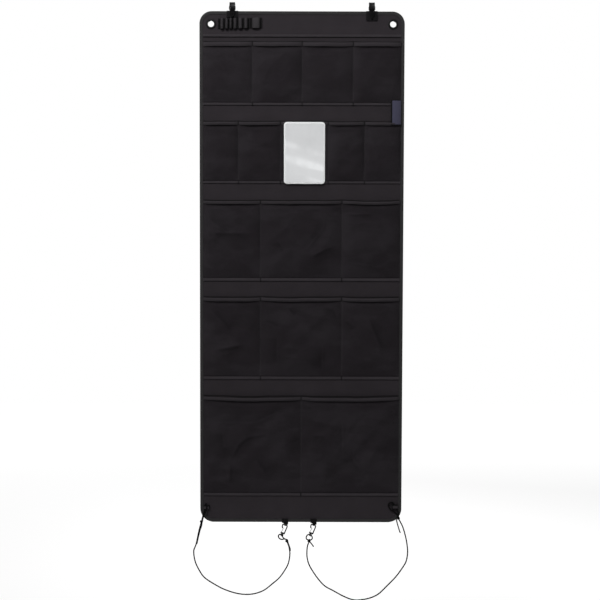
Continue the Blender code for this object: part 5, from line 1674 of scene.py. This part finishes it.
def make_clip_tab(side, x):
    """The webbing tab that holds the clip's bar, sewn to the panel's lower edge."""
    length = CLIP_DROP + CLIP_TAB_SEWN
    line = divided(loop_line(x, CLIP_Y, CLIP_BAR_Z, CLIP_WIRE + GAP, 1, length), 0.0006)
    narrowing = CLIP_TAB_WIDTH - CLIP_TAB_LOOP_WIDTH
    widths = []
    for point in line:
        rise = point.z - CLIP_BAR_Z
        left = CLIP_TAB_WIDTH - narrowing * ramp(rise, 0.0033, 0.0040)
        right = CLIP_TAB_WIDTH - narrowing * ramp(rise, 0.0010, 0.0020)
        widths.append((left + right) / 2)
        point.x += (right - left) / 4
    bm = band(line, ACROSS, WEBBING_THICKNESS, widths)
    for vert in bm.verts:
        ease = clamp(1 - (vert.co.z - CLIP_BAR_Z) / CLIP_DROP)
        vert.co.z -= math.tan(CLIP_LEAN) * (vert.co.x - x) * ease
    sewn_on(f"sewn_clip_{side}_tab", bm, "tab", f"clip_{side}_tab", 50)
    y = CLIP_Y - WEBBING_THICKNESS + THREAD_SEAT
    half = CLIP_TAB_WIDTH / 2 - TAB_SEAM_INSET
    low, high = CLIP_BAR_Z + CLIP_DROP + 0.0012, CLIP_BAR_Z + length - 0.0014
    corners = {"a": (-half, low), "b": (half, high), "c": (half, low), "d": (-half, high)}
    crossed_box = [corners[k] for k in "abcdacbd"]
    stitches = seam([Vector((x + a, y, z)) for a, z in crossed_box], TAB_STITCH_PITCH)
    stitching(f"clip_{side}_tab_seam", stitches)


# Corner loops and cords


def make_corner_loop(side, hand):
    """A webbing loop sewn beside the side binding."""
    t = BINDING_THICKNESS
    low, high = sorted((hand * SEAM_X, hand * (SEAM_X - LOOP_REACH)))
    rear = SHEET_BACK - t
    front = rear - LOOP_ROOM
    radius, middle = (rear - front) / 2, (rear + front) / 2
    z = at_depth(LOOP_TOP[side]) - LOOP_WIDTH / 2
    steps = 14
    points = []
    for end, start in ((high - t, -90), (low + t, 90)):
        centre = end - math.copysign(radius, end - (low + high) / 2)
        for k in range(steps + 1):
            angle = math.radians(start + 180 * k / steps)
            points.append(Vector((centre + radius * math.cos(angle), middle + radius * math.sin(angle), z)))
    bm = band(divided(points, 0.0012, closed=True), UP, t, LOOP_WIDTH, closed=True, seams=(0.0031,))

    # Painted shade along the loop's top edge and its inner end, at its opening
    def shade(x, depth, y):
        from_end = abs(x) - (SEAM_X - LOOP_REACH)
        return max(ramp(depth - LOOP_TOP[side], 0.0024, 0.0038), ramp(from_end, 0.0020, 0.0036))

    sewn_on(f"sewn_corner_loop_{side}", bm, "tape", f"corner_loop_{side}", 50, shade)


def wrapped(centre, way, turns, radius, length):
    """Points of a coil round the line through centre along way."""
    side = way.orthogonal().normalized()
    other = way.cross(side)
    steps = round(turns * 10)
    found = []
    for k in range(steps + 1):
        angle = 2 * math.pi * turns * k / steps
        spot = centre + way * length * (k / steps - 0.5)
        found.append(spot + (side * math.cos(angle) + other * math.sin(angle)) * radius)
    return found


def make_knot(name, body, centre, toward, loop, tail, node):
    """One unbroken cord: its tail, two turns round itself, its loop, and the strand that goes on."""
    way = (toward - centre).normalized()
    coil = wrapped(centre, -way, 2.0, BRAID_RADIUS * 1.5, 0.0044)
    strand = [centre - way * KNOT_HALF, centre, centre + way * (KNOT_HALF + 0.0010)]
    path = [*reversed(tail), *coil, *loop, *strand]
    bm = tube(smooth_curve(path, 0.0009), BRAID_RADIUS * 0.97, 12, 3)
    return piece(name, bm, "cord", body, node, smooth=60)


def make_cord(side):
    """A cord from the knot at its corner loop to the knot at its clip, and both knots."""
    route = in_space(ROUTES[side])
    corner = make_knot(
        f"corner_knot_{side}", "organizer", route[0], route[1], in_space(CORNER_RINGS[side]),
        in_space(CORNER_TAILS[side]), f"cord_{side}_corner_knot",
    )
    eye = clip_point(CLIP_XS[side], CLIP_EYE_U, CLIP_EYE_DROP)
    through = Vector((0.0004, 0.0034, -0.0010))
    before, after = (in_space(part) for part in CLIP_RINGS[side])
    clip = make_knot(
        f"clip_knot_{side}", f"clip_{side}", route[-1], route[-2],
        [*before, eye - through, eye, eye + through, *after], in_space(CLIP_TAILS[side]),
        f"cord_{side}_clip_knot",
    )
    start = route[0] + (route[1] - route[0]).normalized() * KNOT_HALF
    end = route[-1] + (route[-2] - route[-1]).normalized() * KNOT_HALF
    path = smooth_curve([start, *route[1:-1], end], 0.0022)
    length = sum((b - a).length for a, b in zip(path, path[1:]))
    bm = tube(path, BRAID_RADIUS, 14, 2)
    cord = piece(f"stretch_cord_{side}", bm, "cord", None, f"cord_{side}", smooth=60)
    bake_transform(cord)
    tuple(path[0])


# Stage, light and camera


def plane(half):
    bm = bmesh.new()
    bmesh.ops.create_grid(bm, x_segments=1, y_segments=1, size=half)
    return bm


def make_floor():
    """A floor that keeps the shadow and that the camera sees as white, whiter farther off."""
    ground = Finish("white_floor", follows="Object")
    seen = ground.node("ShaderNodeLightPath").outputs["Is Camera Ray"]
    farther = ground.spread(ground.y, 1.6, 4.6, 0.56, 0.83)
    matt = ground.node("ShaderNodeBsdfDiffuse", (0.60, 0.60, 0.60))
    glow = ground.node("ShaderNodeEmission", None, ground.maths("MULTIPLY", seen, farther))
    ground.shine(ground.node("ShaderNodeAddShader", matt.outputs[0], glow.outputs[0]))
    bm = plane(FLOOR_HALF)
    bmesh.ops.translate(bm, verts=bm.verts, vec=(0, 0, FLOOR_Z))
    added("floor", bm, ground.material)


def make_reflected_card():
    """What the mirror shows: a grey studio wall behind the camera with pale slanted streaks."""
    wall = Finish("studio_wall", follows="Object")
    slant = wall.maths("ADD", wall.maths("MULTIPLY", wall.x, 0.30), wall.z)
    pale = wall.spread(slant, 0.050, 0.095, 0.22, 0.0)
    for centre, full, none, share in (
        (0.065, 0.008, 0.030, 0.58), (-0.034, 0.020, 0.032, 1.0), (-0.131, 0.006, 0.024, 0.75),
    ):
        off = wall.maths("ABSOLUTE", wall.maths("SUBTRACT", slant, centre))
        pale = wall.maths("MAXIMUM", pale, wall.spread(off, full, none, share, 0.0))
    colour = wall.mix(pale, (0.715, 0.715, 0.720), (0.925, 0.925, 0.930))
    wall.shine(wall.node("ShaderNodeEmission", colour, 1.0))
    bm = plane(1.0)
    bmesh.ops.rotate(bm, verts=bm.verts, matrix=Matrix.Rotation(math.pi / 2, 3, "X"))
    bmesh.ops.translate(bm, verts=bm.verts, vec=(0.02, -6.0, 0.035))
    card = added("studio_wall", bm, wall.material)
    card.visible_camera = False
    card.visible_diffuse = False
    card.visible_shadow = False


def make_light():
    """A white surround that is dimmer as light than as background, and three soft lamps."""
    world = bpy.data.worlds.new("white_studio")
    scene.world = world
    world.use_nodes = True
    sky = Nodes(world.node_tree)
    rays = sky.node("ShaderNodeLightPath").outputs
    seen = sky.maths("MAXIMUM", rays["Is Camera Ray"], rays["Is Glossy Ray"])
    seen = sky.maths("MAXIMUM", seen, rays["Is Transmission Ray"])
    background = sky.tree.nodes["Background"].inputs
    sky.feed(background["Color"], (1.0, 1.0, 1.0))
    sky.feed(background["Strength"], sky.spread(seen, 0.0, 1.0, 0.27, 1.0))
    for name, place, target, watts, size in (
        ("front_softbox", (-0.70, -1.75, 1.20), (0.0, 0.0, -0.50), 57.5, 0.8),
        ("low_fill", (0.0, -0.45, -1.60), (0.0, 0.0, -1.25), 0.45, 0.4),
        ("rear_softbox", (0.90, 2.60, 0.60), (0.0, 0.0, -0.60), 52.0, 1.4),
    ):
        softbox = bpy.data.lights.new(name, "AREA")
        softbox.shape = "DISK"
        softbox.size = size
        softbox.energy = watts
        lamp = bpy.data.objects.new(name, softbox)
        lamp.visible_camera = False
        lamp.location = place
        lamp.rotation_euler = (Vector(target) - lamp.location).to_track_quat("-Z", "Y").to_euler()
        scene.collection.objects.link(lamp)


def make_camera():
    """A long lens at the middle of the panel, looking a little down."""
    data = bpy.data.cameras.new("camera")
    data.lens = CAMERA_LENS
    camera = bpy.data.objects.new("camera", data)
    camera.location = (-0.0034, -3.0018, -0.5557)
    tilt = Matrix.Rotation(math.radians(90 - CAMERA_DIP), 4, "X")
    roll = Matrix.Rotation(math.radians(CAMERA_ROLL), 4, "Z")
    camera.rotation_euler = (tilt @ roll).to_euler()
    scene.collection.objects.link(camera)
    scene.camera = camera


def main():
    scene.view_settings.view_transform = "Standard"
    make_camera()
    for side in ("left", "right"):
        make_cord(side)
    backing = make_backing()
    make_binding()
    make_back_seams()
    make_header_tape()
    make_elastic()
    for row in ROWS:
        make_row(row)
    make_label()
    make_mirror()
    make_mirror_tapes()
    for side, hand in (("left", -1), ("right", 1)):
        make_eyelet(side, EYELET_XS[side])
        make_patch(side, HOOK_XS[side])
        make_hook_tab(side, HOOK_XS[side])
        make_hook(side, HOOK_XS[side])
        make_corner_loop(side, hand)
        make_clip_tab(side, CLIP_XS[side])
        make_clip(side, CLIP_XS[side])
        make_gate(side, CLIP_XS[side])
    make_floor()
    make_reflected_card()
    make_light()


main()
